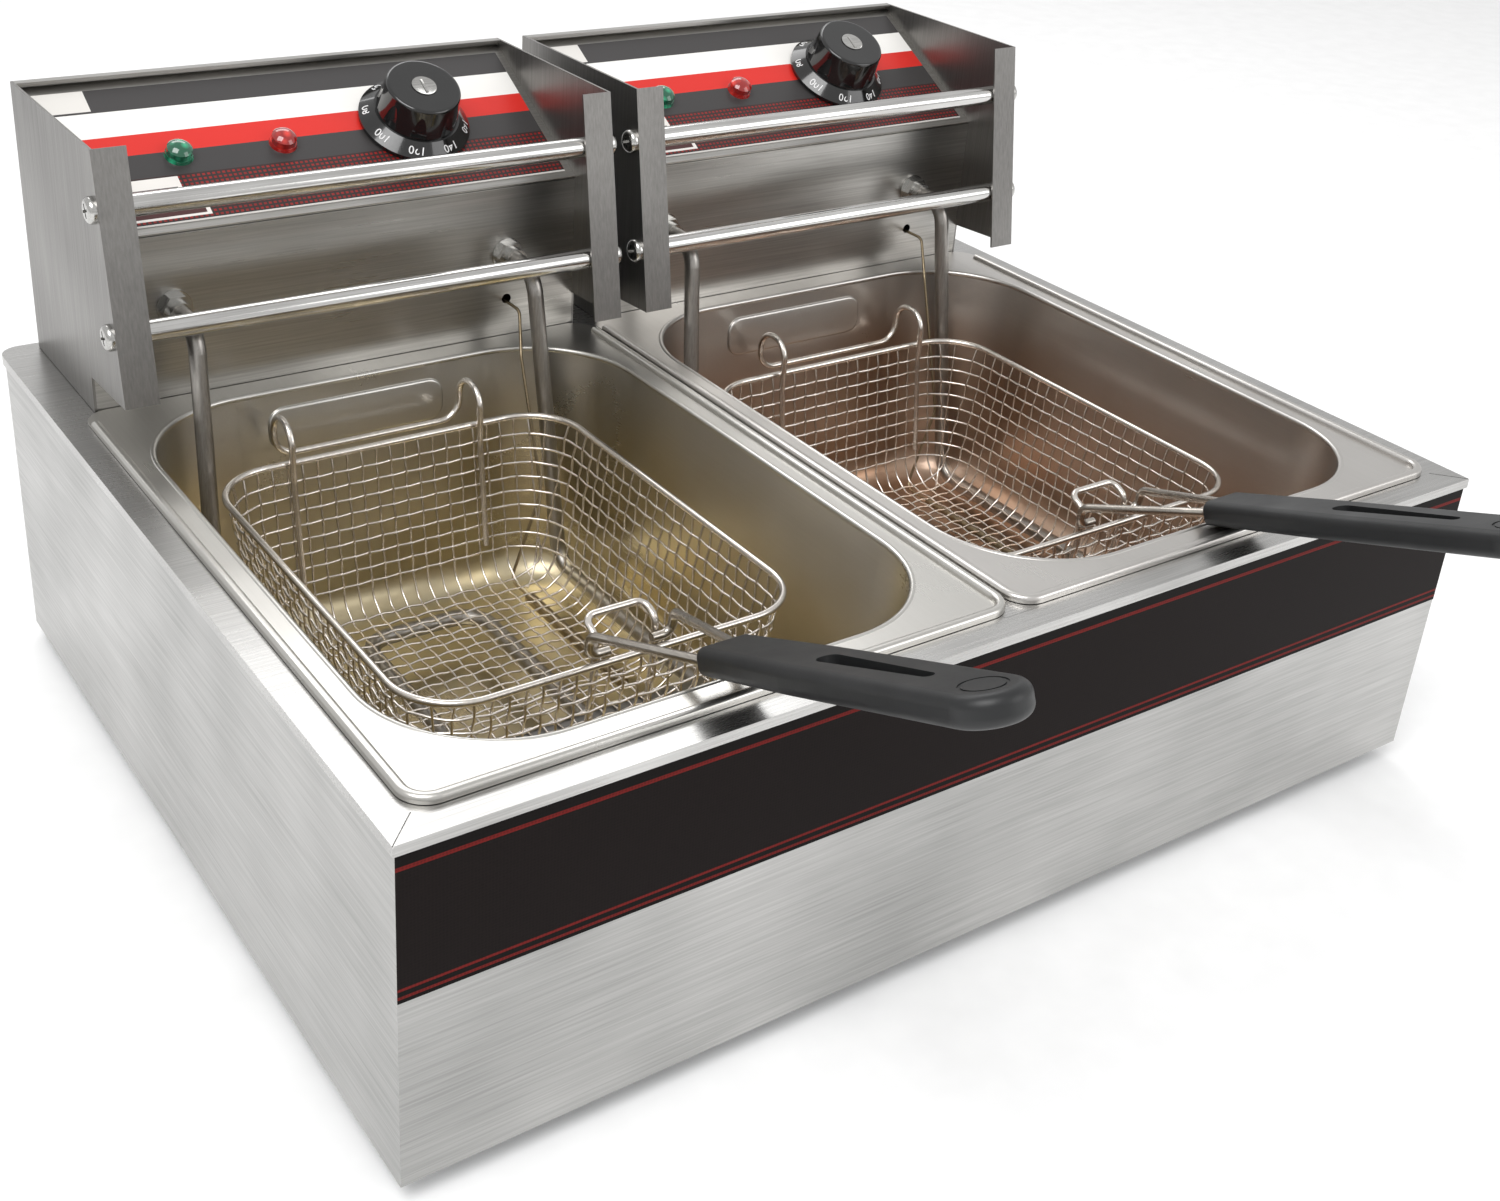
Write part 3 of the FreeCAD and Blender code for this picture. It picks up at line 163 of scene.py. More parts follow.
def settle(obj: bpy.types.Object) -> None:
    """Put an object's place, turn and size into its mesh."""
    pick(obj)
    bpy.ops.object.transform_apply(location=True, rotation=True, scale=True)


def soften(obj: bpy.types.Object, angle: float = 30.0) -> None:
    """Merge doubles, point faces outward and shade smoothly.

    Args:
        obj: The object to soften.
        angle: Edges sharper than this, in degrees, stay crisp.
    """
    pick(obj)
    bpy.ops.object.mode_set(mode="EDIT")
    bpy.ops.mesh.select_all(action="SELECT")
    bpy.ops.mesh.remove_doubles(threshold=MERGE_DISTANCE * MM)
    bpy.ops.mesh.normals_make_consistent(inside=False)
    bpy.ops.object.mode_set(mode="OBJECT")
    bpy.ops.object.shade_smooth_by_angle(angle=math.radians(angle))


def apply_modifiers(obj: bpy.types.Object) -> None:
    """Apply every modifier that an object carries.

    Args:
        obj: The object to finish.
    """
    pick(obj)
    for modifier in list(obj.modifiers):
        bpy.ops.object.modifier_apply(modifier=modifier.name)


def dress(obj: bpy.types.Object, material: bpy.types.Material) -> None:
    """Give an object one material.

    Args:
        obj: The object to dress.
        material: The material for all of its faces.
    """
    obj.data.materials.clear()
    obj.data.materials.append(material)
    for polygon in obj.data.polygons:
        polygon.material_index = 0


def finish_piece(obj: bpy.types.Object, name: str, body: str,
                 material: bpy.types.Material) -> bpy.types.Object:
    """Name a new piece, dress it and make it ride on its body.

    Args:
        obj: The piece, already in place.
        name: The piece's name.
        body: The body that it moves with.
        material: Its material.

    Returns:
        The piece.
    """
    obj.name = name
    obj.data.name = name
    dress(obj, material)
    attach(obj, body)
    LOG.info("%s: %d faces on %s", name, len(obj.data.polygons), body)
    return obj


def paint(node: str, material: bpy.types.Material) -> None:
    """Give the frame's piece of this name a better material."""
    dress(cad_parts[node], material)


def start_material(name: str) -> tuple[bpy.types.Material, bpy.types.NodeTree, bpy.types.Node,
                                       bpy.types.NodeSocket]:
    """Make an empty material with a shader and the object coordinates.

    Args:
        name: The material's name.

    Returns:
        The material, its tree, its Principled shader and the coordinates' output.
    """
    material = bpy.data.materials.new(name)
    material.use_nodes = True
    tree = material.node_tree
    tree.nodes.clear()
    shader = add_node(tree, "ShaderNodeBsdfPrincipled")
    add_node(tree, "ShaderNodeOutputMaterial", None, {"Surface": shader.outputs[0]})
    point = add_node(tree, "ShaderNodeTexCoord").outputs["Object"]
    return material, tree, shader, point


# ---------------------------------------------------------------- finishes
@dataclass(frozen=True)
class BrushedSteel:
    """Stainless steel sheet, ground with a belt: fine parallel scratches spread the reflections."""

    name: str
    dark: str
    light: str
    roughness: float
    grain: Axis
    grain_mm: float = 0.9
    cloud_mm: float = 90.0
    bump: float = 0.08
    cloud_share: float = 0.5
    side_grain: bool = False
    rougher: float = 0.06
    smoother: float = 0.04

    def base(self, tree: bpy.types.NodeTree, point: bpy.types.NodeSocket
             ) -> tuple[bpy.types.NodeSocket, bpy.types.NodeSocket, bpy.types.NodeSocket]:
        """Make the grain and the broad shading.

        Args:
            tree: The material's tree.
            point: The object coordinates.

        Returns:
            The grain's value, the steel's colour and the roughness, as outputs.
        """
        lines = self.scratches(tree, point, self.grain)
        if self.side_grain:
            normal = add_node(tree, "ShaderNodeTexCoord").outputs["Normal"]
            split = add_node(tree, "ShaderNodeSeparateXYZ", None, {0: normal})
            sideways = add_node(tree, "ShaderNodeMath", {"operation": "ABSOLUTE"}, {0: split.outputs[0]})
            on_side = add_node(tree, "ShaderNodeMath", {"operation": "GREATER_THAN"},
                               {0: sideways.outputs[0], 1: SIDEWAYS})
            chosen = add_node(tree, "ShaderNodeMix", {"data_type": "FLOAT"},
                              {0: on_side.outputs[0], 2: lines, 3: self.scratches(tree, point, Axis.Y)})
            lines = chosen.outputs[0]
        cloud = add_node(tree, "ShaderNodeTexNoise", None,
                         {"Vector": point, "Scale": 1 / (self.cloud_mm * MM), "Detail": 2.0})
        mixed = add_node(tree, "ShaderNodeMix", {"data_type": "FLOAT"},
                         {0: self.cloud_share, 2: lines, 3: cloud.outputs[0]})
        ramp = add_node(tree, "ShaderNodeValToRGB", None, {0: mixed.outputs[0]})
        set_ramp(ramp, [(NOISE_LOW, self.dark), (NOISE_HIGH, self.light)])
        rough = add_node(tree, "ShaderNodeMapRange", None,
                         {"Value": mixed.outputs[0], 1: NOISE_LOW, 2: NOISE_HIGH,
                          3: self.roughness + self.rougher, 4: self.roughness - self.smoother})
        return lines, ramp.outputs[0], rough.outputs[0]

    def scratches(self, tree: bpy.types.NodeTree, point: bpy.types.NodeSocket,
                  grain: Axis) -> bpy.types.NodeSocket:
        """Make the belt's scratches along one direction.

        Args:
            tree: The material's tree.
            point: The object coordinates.
            grain: The direction that the scratches run in.

        Returns:
            The scratches' height, from 0 to 1.
        """
        across = 1 / (self.grain_mm * MM)
        scale = [across, across, across]
        scale[grain.value] = 1 / (SCRATCH_LENGTH * MM)
        stretched = add_node(tree, "ShaderNodeMapping", None, {"Vector": point, "Scale": scale})
        noise = add_node(tree, "ShaderNodeTexNoise", None,
                         {"Vector": stretched.outputs[0], "Scale": 1.0, "Detail": 3.0, "Roughness": 0.6})
        return noise.outputs[0]

    def build(self) -> bpy.types.Material:
        """Build the finish.

        Returns:
            The material.
        """
        material, tree, shader, point = start_material(self.name)
        grain, tint, rough = self.base(tree, point)
        bump = add_node(tree, "ShaderNodeBump", None,
                        {"Strength": self.bump, "Distance": SCRATCH_DEPTH * MM, "Height": grain})
        shader.inputs["Metallic"].default_value = 1.0
        tree.links.new(tint, shader.inputs["Base Color"])
        tree.links.new(rough, shader.inputs["Roughness"])
        tree.links.new(bump.outputs[0], shader.inputs["Normal"])
        return material


@dataclass(frozen=True)
class TankSteel(BrushedSteel):
    """Deep-drawn stainless steel, satin, with the straw or brown tint that hot oil leaves inside."""

    tint: str = "B08A52"
    tint_deep: str = "8A5E34"
    strength: float = 0.8
    rim_z: float = 160.0
    fade_above: float = 22.0
    fade_below: float = 42.0
    stain_mm: float = 70.0
    wander_mm: float = 50.0
    centre: tuple[float, float, float] = (0.0, 0.0, 0.0)

    def build(self) -> bpy.types.Material:
        """Build the finish.

        Returns:
            The material.
        """
        material, tree, shader, point = start_material(self.name)
        grain, steel, rough = self.base(tree, point)
        split = add_node(tree, "ShaderNodeSeparateXYZ", None, {0: point})
        blotch = add_node(tree, "ShaderNodeTexNoise", None,
                          {"Vector": point, "Scale": 1 / (self.stain_mm * MM), "Detail": 3.0})
        wobble = add_node(tree, "ShaderNodeMath", {"operation": "MULTIPLY_ADD"},
                          {0: blotch.outputs[0], 1: self.wander_mm * MM, 2: split.outputs[2]})
        depth = add_node(tree, "ShaderNodeMapRange", {"interpolation_type": "SMOOTHSTEP"},
                         {"Value": wobble.outputs[0], 1: (self.rim_z + self.fade_above) * MM,
                          2: (self.rim_z - self.fade_below) * MM, 3: 0.0, 4: self.strength})
        normal = add_node(tree, "ShaderNodeTexCoord").outputs["Normal"]
        # Only faces that look at the tank's middle, which are its inside, take the tint.
        inward = add_node(tree, "ShaderNodeVectorMath", {"operation": "SUBTRACT"},
                          {0: tuple(c * MM for c in self.centre), 1: point})
        facing = add_node(tree, "ShaderNodeVectorMath", {"operation": "DOT_PRODUCT"},
                          {0: inward.outputs[0], 1: normal})
        inside = add_node(tree, "ShaderNodeMath", {"operation": "GREATER_THAN"},
                          {0: facing.outputs["Value"], 1: 0.0})
        share = add_node(tree, "ShaderNodeMath", {"operation": "MULTIPLY"},
                         {0: depth.outputs[0], 1: inside.outputs[0]})
        stain = add_node(tree, "ShaderNodeValToRGB", None, {0: blotch.outputs[0]})
        set_ramp(stain, [(NOISE_LOW, self.tint_deep), (NOISE_HIGH, self.tint)])
        mixed = add_node(tree, "ShaderNodeMix", {"data_type": "RGBA"},
                         {0: share.outputs[0], 6: steel, 7: stain.outputs[0]})
        bump = add_node(tree, "ShaderNodeBump", None,
                        {"Strength": self.bump, "Distance": SCRATCH_DEPTH * MM, "Height": grain})
        shader.inputs["Metallic"].default_value = 1.0
        tree.links.new(mixed.outputs[2], shader.inputs["Base Color"])
        tree.links.new(rough, shader.inputs["Roughness"])
        tree.links.new(bump.outputs[0], shader.inputs["Normal"])
        return material


@dataclass(frozen=True)
class Plastic:
    """Injection-moulded plastic or rubber: a faint orange-peel grain from the mould."""

    name: str
    dark: str
    light: str
    roughness: float
    grain_mm: float = 0.8
    bump: float = 0.15
    coat: float = 0.0
    coat_roughness: float = 0.06
    cloud_mm: float = 25.0
    spread: float = 0.05
    smoothest: float = 0.03

    def build(self) -> bpy.types.Material:
        """Build the finish.

        Returns:
            The material.
        """
        material, tree, shader, point = start_material(self.name)
        grain = add_node(tree, "ShaderNodeTexNoise", None,
                         {"Vector": point, "Scale": 1 / (self.grain_mm * MM), "Detail": 2.0})
        cloud = add_node(tree, "ShaderNodeTexNoise", None,
                         {"Vector": point, "Scale": 1 / (self.cloud_mm * MM), "Detail": 3.0})
        ramp = add_node(tree, "ShaderNodeValToRGB", None, {0: cloud.outputs[0]})
        set_ramp(ramp, [(0.35, self.dark), (0.65, self.light)])
        rough = add_node(tree, "ShaderNodeMapRange", None,
                         {"Value": cloud.outputs[0], 1: NOISE_LOW, 2: NOISE_HIGH,
                          3: self.roughness + self.spread,
                          4: max(self.roughness - self.spread, self.smoothest)})
        bump = add_node(tree, "ShaderNodeBump", None,
                        {"Strength": self.bump, "Distance": PEEL_DEPTH * MM, "Height": grain.outputs[0]})
        shader.inputs["Coat Weight"].default_value = self.coat
        shader.inputs["Coat Roughness"].default_value = self.coat_roughness
        tree.links.new(ramp.outputs[0], shader.inputs["Base Color"])
        tree.links.new(rough.outputs[0], shader.inputs["Roughness"])
        tree.links.new(bump.outputs[0], shader.inputs["Normal"])
        return material


@dataclass(frozen=True)
class LampLens:
    """Clear coloured acrylic, moulded: deep colour and a sharp highlight from the coat, with painted
    highlights: bright cell middles in the base colour that also glow faintly.
    """

    name: str
    deep: str
    # The colour of the painted highlights.
    bright: str
    painted_highlight_mm: float = 5.0

    def build(self) -> bpy.types.Material:
        """Build the finish.

        Returns:
            The material.
        """
        material, tree, shader, point = start_material(self.name)
        # Painted highlights: a bright spot in the middle of each Voronoi cell, fading to the deep colour at
        # its edge. The emission takes the same colour, so the spots also glow faintly.
        painted_highlight_cells = add_node(tree, "ShaderNodeTexVoronoi", None,
                          {"Vector": point, "Scale": 1 / (self.painted_highlight_mm * MM)})
        ramp = add_node(tree, "ShaderNodeValToRGB", None, {0: painted_highlight_cells.outputs["Distance"]})
        set_ramp(ramp, [(0.1, self.bright), (0.5, self.deep)])
        shader.inputs["Roughness"].default_value = 0.12
        shader.inputs["Coat Weight"].default_value = 1.0
        shader.inputs["Coat Roughness"].default_value = 0.03
        shader.inputs["Emission Strength"].default_value = 0.05
        tree.links.new(ramp.outputs[0], shader.inputs["Base Color"])
        tree.links.new(ramp.outputs[0], shader.inputs["Emission Color"])
        return material


@dataclass(frozen=True)
class FrontFilm:
    """Screen-printed vinyl on the casing's front: near-black ground, fine dots and thin red lines."""

    name: str
    top_z: float
    height: float
    ink: str = "5E1614"
    line: float = 1.2
    first_line: float = 1.6
    second_line: float = 4.8
    top_line: float = 6.6
    top_gap: float = 5.0
    # The real dots look to be under 1 mm apart, too fine to show, so they are drawn coarser.
    dot_mm: float = 1.3

    def build(self) -> bpy.types.Material:
        """Build the finish.

        Returns:
            The material.
        """
        material, tree, shader, point = start_material(self.name)
        split = add_node(tree, "ShaderNodeSeparateXYZ", None, {0: point})
        low = (self.top_z - self.height) * MM
        place = add_node(tree, "ShaderNodeMapRange", None,
                         {"Value": split.outputs[2], 1: low, 2: self.top_z * MM, 3: 0.0, 4: 1.0})
        lines = add_node(tree, "ShaderNodeValToRGB", None, {0: place.outputs[0]})
        stops = [(0.0, "0B0706"), (self.first_line, self.ink), (self.first_line + self.line, "0E0908"),
                 (self.second_line, self.ink), (self.second_line + self.line, "120C0B"),
                 (self.height - self.top_line, self.ink), (self.height - self.top_gap, "0C0807")]
        set_ramp(lines, [(up / self.height, code) for up, code in stops], "CONSTANT")
        dots = add_node(tree, "ShaderNodeTexVoronoi", {"feature": "F1"},
                        {"Vector": point, "Scale": 1 / (self.dot_mm * MM), "Randomness": 0.15})
        # The multiplier is darker in each dot's middle and lighter between the dots.
        fine = add_node(tree, "ShaderNodeMapRange", None,
                        {"Value": dots.outputs["Distance"], 1: 0.2, 2: 0.6, 3: 0.75, 4: 1.3})
        tone = add_node(tree, "ShaderNodeMix", {"data_type": "RGBA", "blend_type": "MULTIPLY"},
                        {0: 1.0, 6: lines.outputs[0], 7: fine.outputs[0]})
        shader.inputs["Roughness"].default_value = 0.5
        shader.inputs["Specular IOR Level"].default_value = 0.08
        bump = add_node(tree, "ShaderNodeBump", None, {
            "Strength": 0.12, "Distance": SCRATCH_DEPTH * MM, "Height": dots.outputs["Distance"]})
        tree.links.new(tone.outputs[2], shader.inputs["Base Color"])
        tree.links.new(bump.outputs[0], shader.inputs["Normal"])
        return material


@dataclass(frozen=True)
class LabelBox:
    """A plain printed box, by its edges across and up the panel in mm."""

    left: float
    right: float
    low: float
    high: float
    ink: str


@dataclass(frozen=True)
class PanelFilm:
    """Screen-printed polycarbonate on the sloping panel: stripes, a dotted band and plain label boxes."""

    name: str
    centre_x: float
    foot_y: float
    foot_z: float
    slope: float
    length: float = 99.0
    dotted_low: float = 5.0
    dotted_high: float = 32.5
    red_low: float = 47.5
    pale_low: float = 60.2
    dark_low: float = 76.0
    # The real dots look to be little over 1 mm apart, too fine to show, so they are drawn coarser.
    dot_mm: float = 2.4
    speck_mm: float = 0.7
    boxes: tuple[LabelBox, ...] = (LabelBox(-113.0, -71.0, 19.0, 32.0, "E2DED9"),
                                   LabelBox(-113.0, -73.0, 24.5, 25.6, "4A4646"),
                                   LabelBox(-113.0, -63.0, 7.0, 12.5, "E2DED9"),
                                   LabelBox(-111.0, -65.0, 8.4, 11.1, "4A2A2A"),
                                   LabelBox(-121.0, -96.0, 77.5, 93.0, "DAD7D2"))

    def build(self) -> bpy.types.Material:
        """Build the finish.

        Returns:
            The material.
        """
        material, tree, shader, point = start_material(self.name)
        rise = math.radians(self.slope)
        foot = (self.centre_x * MM, self.foot_y * MM, self.foot_z * MM)
        local = add_node(tree, "ShaderNodeVectorMath", {"operation": "SUBTRACT"}, {0: point, 1: foot})
        up = add_node(tree, "ShaderNodeVectorMath", {"operation": "DOT_PRODUCT"},
                      {0: local.outputs[0], 1: (0.0, math.cos(rise), math.sin(rise))})
        side = add_node(tree, "ShaderNodeSeparateXYZ", None, {0: local.outputs[0]})
        share = add_node(tree, "ShaderNodeMapRange", None,
                         {"Value": up.outputs["Value"], 1: 0.0, 2: self.length * MM, 3: 0.0, 4: 1.0})
        bands = add_node(tree, "ShaderNodeValToRGB", None, {0: share.outputs[0]})
        stops = [(0.0, "C9C6C2"), (self.dotted_low, "3A2323"), (self.dotted_high, "3B3939"),
                 (self.red_low, "D02A22"), (self.pale_low, "ECEAE6"), (self.dark_low, "3E3C3C")]
        set_ramp(bands, [(run / self.length, code) for run, code in stops], "CONSTANT")
        grid = add_node(tree, "ShaderNodeTexBrick", {"offset": 0.0}, {
            "Vector": local.outputs[0], "Color1": colour("8E1F1B"), "Color2": colour("7A1A18"),
            "Mortar": colour("2B2424"), "Scale": 1 / (self.dot_mm * MM), "Mortar Size": 0.22,
            "Brick Width": 1.0, "Row Height": 0.9})
        dotted = self.window(tree, up.outputs["Value"], self.dotted_low, self.dotted_high)
        with_grid = add_node(tree, "ShaderNodeMix", {"data_type": "RGBA"},
                             {0: dotted, 6: bands.outputs[0], 7: grid.outputs[0]})
        last = with_grid.outputs[2]
        for box in self.boxes:
            across = self.window(tree, side.outputs[0], box.left, box.right)
            upward = self.window(tree, up.outputs["Value"], box.low, box.high)
            both = add_node(tree, "ShaderNodeMath", {"operation": "MULTIPLY"}, {0: across, 1: upward})
            step = add_node(tree, "ShaderNodeMix", {"data_type": "RGBA"},
                            {0: both.outputs[0], 6: last, 7: colour(box.ink)})
            last = step.outputs[2]
        speck = add_node(tree, "ShaderNodeTexNoise", None,
                         {"Vector": point, "Scale": 1 / (self.speck_mm * MM)})
        bump = add_node(tree, "ShaderNodeBump", None,
                        {"Strength": 0.06, "Distance": SCRATCH_DEPTH * MM, "Height": speck.outputs[0]})
        shader.inputs["Roughness"].default_value = 0.32
        shader.inputs["Specular IOR Level"].default_value = 0.35
        tree.links.new(last, shader.inputs["Base Color"])
        tree.links.new(bump.outputs[0], shader.inputs["Normal"])
        return material

    def window(self, tree: bpy.types.NodeTree, value: bpy.types.NodeSocket, low: float,
               high: float) -> bpy.types.NodeSocket:
        """Mark where a length lies between two places.

        Args:
            tree: The material's tree.
            value: The length, in metres.
            low: The lower place in mm.
            high: The upper place in mm.

        Returns:
            An output that is 1 between the places and 0 elsewhere.
        """
        above = add_node(tree, "ShaderNodeMath", {"operation": "GREATER_THAN"}, {0: value, 1: low * MM})
        below = add_node(tree, "ShaderNodeMath", {"operation": "LESS_THAN"}, {0: value, 1: high * MM})
        both = add_node(tree, "ShaderNodeMath", {"operation": "MULTIPLY"},
                        {0: above.outputs[0], 1: below.outputs[0]})
        return both.outputs[0]


class Finishes:
    """Every material of the fryer, made once."""

    def __init__(self) -> None:
        """Build the materials."""
        # Belt-ground sheet: broad soft streaks, along the front and back-to-front on the sides.
        self.casing_front = BrushedSteel("stainless_casing_brushed", "9E9E9C", "C6C5C3", 0.32, Axis.X,
                                         side_grain=True).build()
        # The same sheet on top, ground smoother, so it catches brighter reflections.
        self.deck = BrushedSteel("stainless_deck_brushed", "A3A2A0", "D2D1CF", 0.27, Axis.X).build()
        # The heads' folded sheet: a slightly warmer, darker brushed grey.
        self.head = BrushedSteel("stainless_head_brushed", "95938F", "C4C2BE", 0.30, Axis.X).build()
        # Plates ground coarsely with an upright grain: dull, and darker than the rods they hold.
        self.plate = BrushedSteel("stainless_plate_dull", "787674", "989693", 0.36, Axis.Z).build()
        # Polished round bar: narrow bright highlights along its length.
        self.rod = BrushedSteel("stainless_rod_polished", "B9B8B5", "E6E5E3", 0.12, Axis.X, 1.5, 60.0,
                                0.03).build()
        # Zinc-plated screws, nuts and discs: small sharp glints.
        self.screw = BrushedSteel("steel_screw_plated", "A5A4A1", "D0CFCC", 0.20, Axis.X, 0.6).build()
        # Drawn element tube, dulled by heat: soft grey-brown shine.
        self.element = BrushedSteel("stainless_element_tube", "8E8A85", "B9B5B0", 0.33, Axis.Z, 0.8).build()
        # Hot-dip galvanised sheet: matt, bluish and faintly mottled.
        self.galvanised = BrushedSteel("steel_galvanised", "A0A2A3", "B4B6B6", 0.45, Axis.X, 6.0,
                                       14.0).build()
        # Chromed basket wire: bright lines that stand out from the tank behind.
        self.wire = BrushedSteel("steel_wire_chromed", "CFC8C0", "F0EAE3", 0.20, Axis.Z, 2.0, 20.0,
                                 0.03).build()
        # Plated handle wire: a little duller and warmer than the basket's.
        self.handle_wire = BrushedSteel("steel_handle_wire", "A09A92", "CDC7BE", 0.25, Axis.Y, 1.5,
                                        20.0).build()
        # Drawn brass of the bulbs and shafts: a muted yellow sheen.
        self.brass = BrushedSteel("brass_bulb_drawn", "857760", "A89A80", 0.30, Axis.Y, 0.8).build()
        # Satin drawn tanks, the left tinted straw and the right browner by hot oil.
        self.tanks = {
            Side.LEFT: TankSteel("stainless_tank_straw_tint", "C2C0BB", "D6D4CF", 0.29, Axis.Y, 1.2, 90.0,
                                 0.01, 0.85, tint="D8CBA8", tint_deep="C0AF84",
                                 centre=(-TANK_X, TANK_Y, TANK_MIDDLE_Z)).build(),
            Side.RIGHT: TankSteel("stainless_tank_brown_tint", "C2BFBB", "D6D3CF", 0.29, Axis.Y, 1.2, 90.0,
                                  0.01, 0.85, tint="D0B198", tint_deep="B08D70", strength=0.75,
                                  centre=(TANK_X, TANK_Y, TANK_MIDDLE_Z)).build()}
        # Moulded phenolic grip: a soft black with a blurred highlight and a slight grain.
        self.grip = Plastic("grip_phenolic_moulded", "121314", "1A1B1C", 0.46, 0.9, 0.25).build()
        # Polished phenolic knob: gloss black with crisp highlights.
        self.knob = Plastic("knob_phenolic_gloss", "0A0A0A", "141414", 0.14, 1.2, 0.03, 0.6).build()
        # Moulded nylon inside the heads and on the glands: plain satin black.
        self.inner_black = Plastic("nylon_black_moulded", "141414", "222222", 0.45).build()
        # Pressed and fired ceramic: chalky off-white.
        self.inner_white = Plastic("ceramic_terminal_white", "CFCBC2", "E6E2DA", 0.5).build()
        # Moulded rubber feet: matt black that takes almost no highlight.
        self.rubber = Plastic("foot_rubber_moulded", "0E0E0E", "1C1C1C", 0.7, 1.0, 0.4).build()
        # Pad-printed ink: flat white figures on the gloss skirt.
        self.print_white = Plastic("dial_ink_white", "DADADA", "F2F2F2", 0.4, 0.6, 0.05).build()
        # Moulded acrylic lamp lenses: deep colour with painted highlights, bright cell middles that also
        # glow faintly.
        self.green = LampLens("lamp_acrylic_green", "04543A", "2FA97C").build()
        self.red = LampLens("lamp_acrylic_red", "8E0D08", "E2382A").build()


# ---------------------------------------------------------------- sub-assemblies
@dataclass
class Casing:
    """The folded casing with its deck, middle rail, printed front strip, back panel and feet."""

    finishes: Finishes
    strip_top_z: float = 155.0
    strip_height: float = 61.0

    def dress(self) -> None:
        """Give the casing's pieces their finishes."""
        film = FrontFilm("vinyl_front_printed", self.strip_top_z, self.strip_height).build()
        paint("casing_shell", self.finishes.casing_front)
        paint("front_strip", film)
        for node in ("deck_frame", "middle_rail", "rear_deck_panel"):
            paint(node, self.finishes.deck)
        for node in ("base_plate", "back_panel"):
            paint(node, self.finishes.galvanised)
        paint("feet", self.finishes.rubber)
        LOG.info("casing dressed")


@dataclass
class Tank:
    """One deep-drawn tank with the level mark pressed into its rear wall."""

    finishes: Finishes
    side: Side
    centre_x: float
    mark_width: float = 92.0
    mark_height: float = 22.0
    mark_z: float = 141.0
    mark_shift: float = -4.0
    mark_corner: float = 8.0
    mark_rise: float = 3.0
    mark_edge: float = 1.4
    mouth_width: float = 240.0
    mouth_length: float = 310.0
    mouth_corner: float = 56.0
    mouth_middle_y: float = TANK_Y
    mouth_z: float = 160.3
    mouth_steps: int = 18
    roll_radius: float = 1.5
    rear_wall_y: float = CASING_MIDDLE_Y + 114.0

    def build(self) -> None:
        """Dress the tank, press the level mark and roll the mouth."""
        material = self.finishes.tanks[self.side]
        paint(f"tank_{self.side.value}", material)
        self.press_mark(material)
        self.roll_mouth(material)

    def wall_y(self, x: float, z: float) -> float:
        """Find the rear wall.

        Args:
            x: Where to look, in mm.
            z: The height to look at, in mm.

        Returns:
            The wall's inner Y in mm.
        """
        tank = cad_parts[f"tank_{self.side.value}"]
        start = Vector((x, CASING_MIDDLE_Y, z)) * MM
        hit, place, _, _ = tank.ray_cast(start, Vector((0.0, 1.0, 0.0)))
        return place.y / MM if hit else self.rear_wall_y

    def press_mark(self, material: bpy.types.Material) -> None:
        """Model the shallow raised panel of the level mark.

        Args:
            material: The tank's own steel.
        """
        cx = self.centre_x + self.mark_shift
        low, high = self.mark_z - self.mark_height / 2, self.mark_z + self.mark_height / 2
        lean = math.atan2(self.wall_y(cx, high) - self.wall_y(cx, low), high - low)
        deselect()
        bpy.ops.mesh.primitive_plane_add(size=1.0)
        obj = bpy.context.object
        obj.scale = (self.mark_width * MM, self.mark_height * MM, 1.0)
        settle(obj)
        bpy.ops.object.mode_set(mode="EDIT")
        bpy.ops.mesh.select_all(action="SELECT")
        bpy.ops.mesh.bevel(offset=self.mark_corner * MM, segments=6, affect="VERTICES")
        bpy.ops.mesh.extrude_region_move(TRANSFORM_OT_translate={"value": (0, 0, self.mark_rise * MM)})
        bpy.ops.mesh.select_all(action="SELECT")
        bpy.ops.mesh.normals_make_consistent(inside=False)
        bpy.ops.object.mode_set(mode="OBJECT")
        edge = obj.modifiers.new("pressed_edge", "BEVEL")
        edge.width, edge.segments = self.mark_edge * MM, 4
        edge.limit_method, edge.angle_limit = "ANGLE", math.radians(60)
        apply_modifiers(obj)
        middle = Vector((cx, self.wall_y(cx, self.mark_z) + self.mark_rise / 2, self.mark_z)) * MM
        obj.matrix_world = Matrix.Translation(middle) @ Matrix.Rotation(math.radians(90) - lean, 4, "X")
        settle(obj)
        soften(obj, 60.0)
        finish_piece(obj, f"level_mark_{self.side.value}", f"tank_body_{self.side.value}",
                     material)

    def roll_mouth(self, material: bpy.types.Material) -> None:
        """Model the rounded bend where the flat rim turns down into the tank.

        Args:
            material: The tank's own steel.
        """
        deselect()
        bpy.ops.mesh.primitive_plane_add(size=1.0)
        obj = bpy.context.object
        obj.scale = (self.mouth_width * MM, self.mouth_length * MM, 1.0)
        settle(obj)
        bpy.ops.object.mode_set(mode="EDIT")
        bpy.ops.mesh.select_all(action="SELECT")
        bpy.ops.mesh.bevel(offset=self.mouth_corner * MM, segments=self.mouth_steps, affect="VERTICES")
        bpy.ops.mesh.delete(type="ONLY_FACE")
        bpy.ops.object.mode_set(mode="OBJECT")
        bpy.ops.object.convert(target="CURVE")
        obj = bpy.context.object
        obj.data.bevel_depth = self.roll_radius * MM
        obj.data.bevel_resolution = 3
        bpy.ops.object.convert(target="MESH")
        obj = bpy.context.object
        obj.location = Vector((self.centre_x, self.mouth_middle_y, self.mouth_z)) * MM
        settle(obj)
        soften(obj, 80.0)
        finish_piece(obj, f"mouth_roll_{self.side.value}", f"tank_body_{self.side.value}",
                     material)


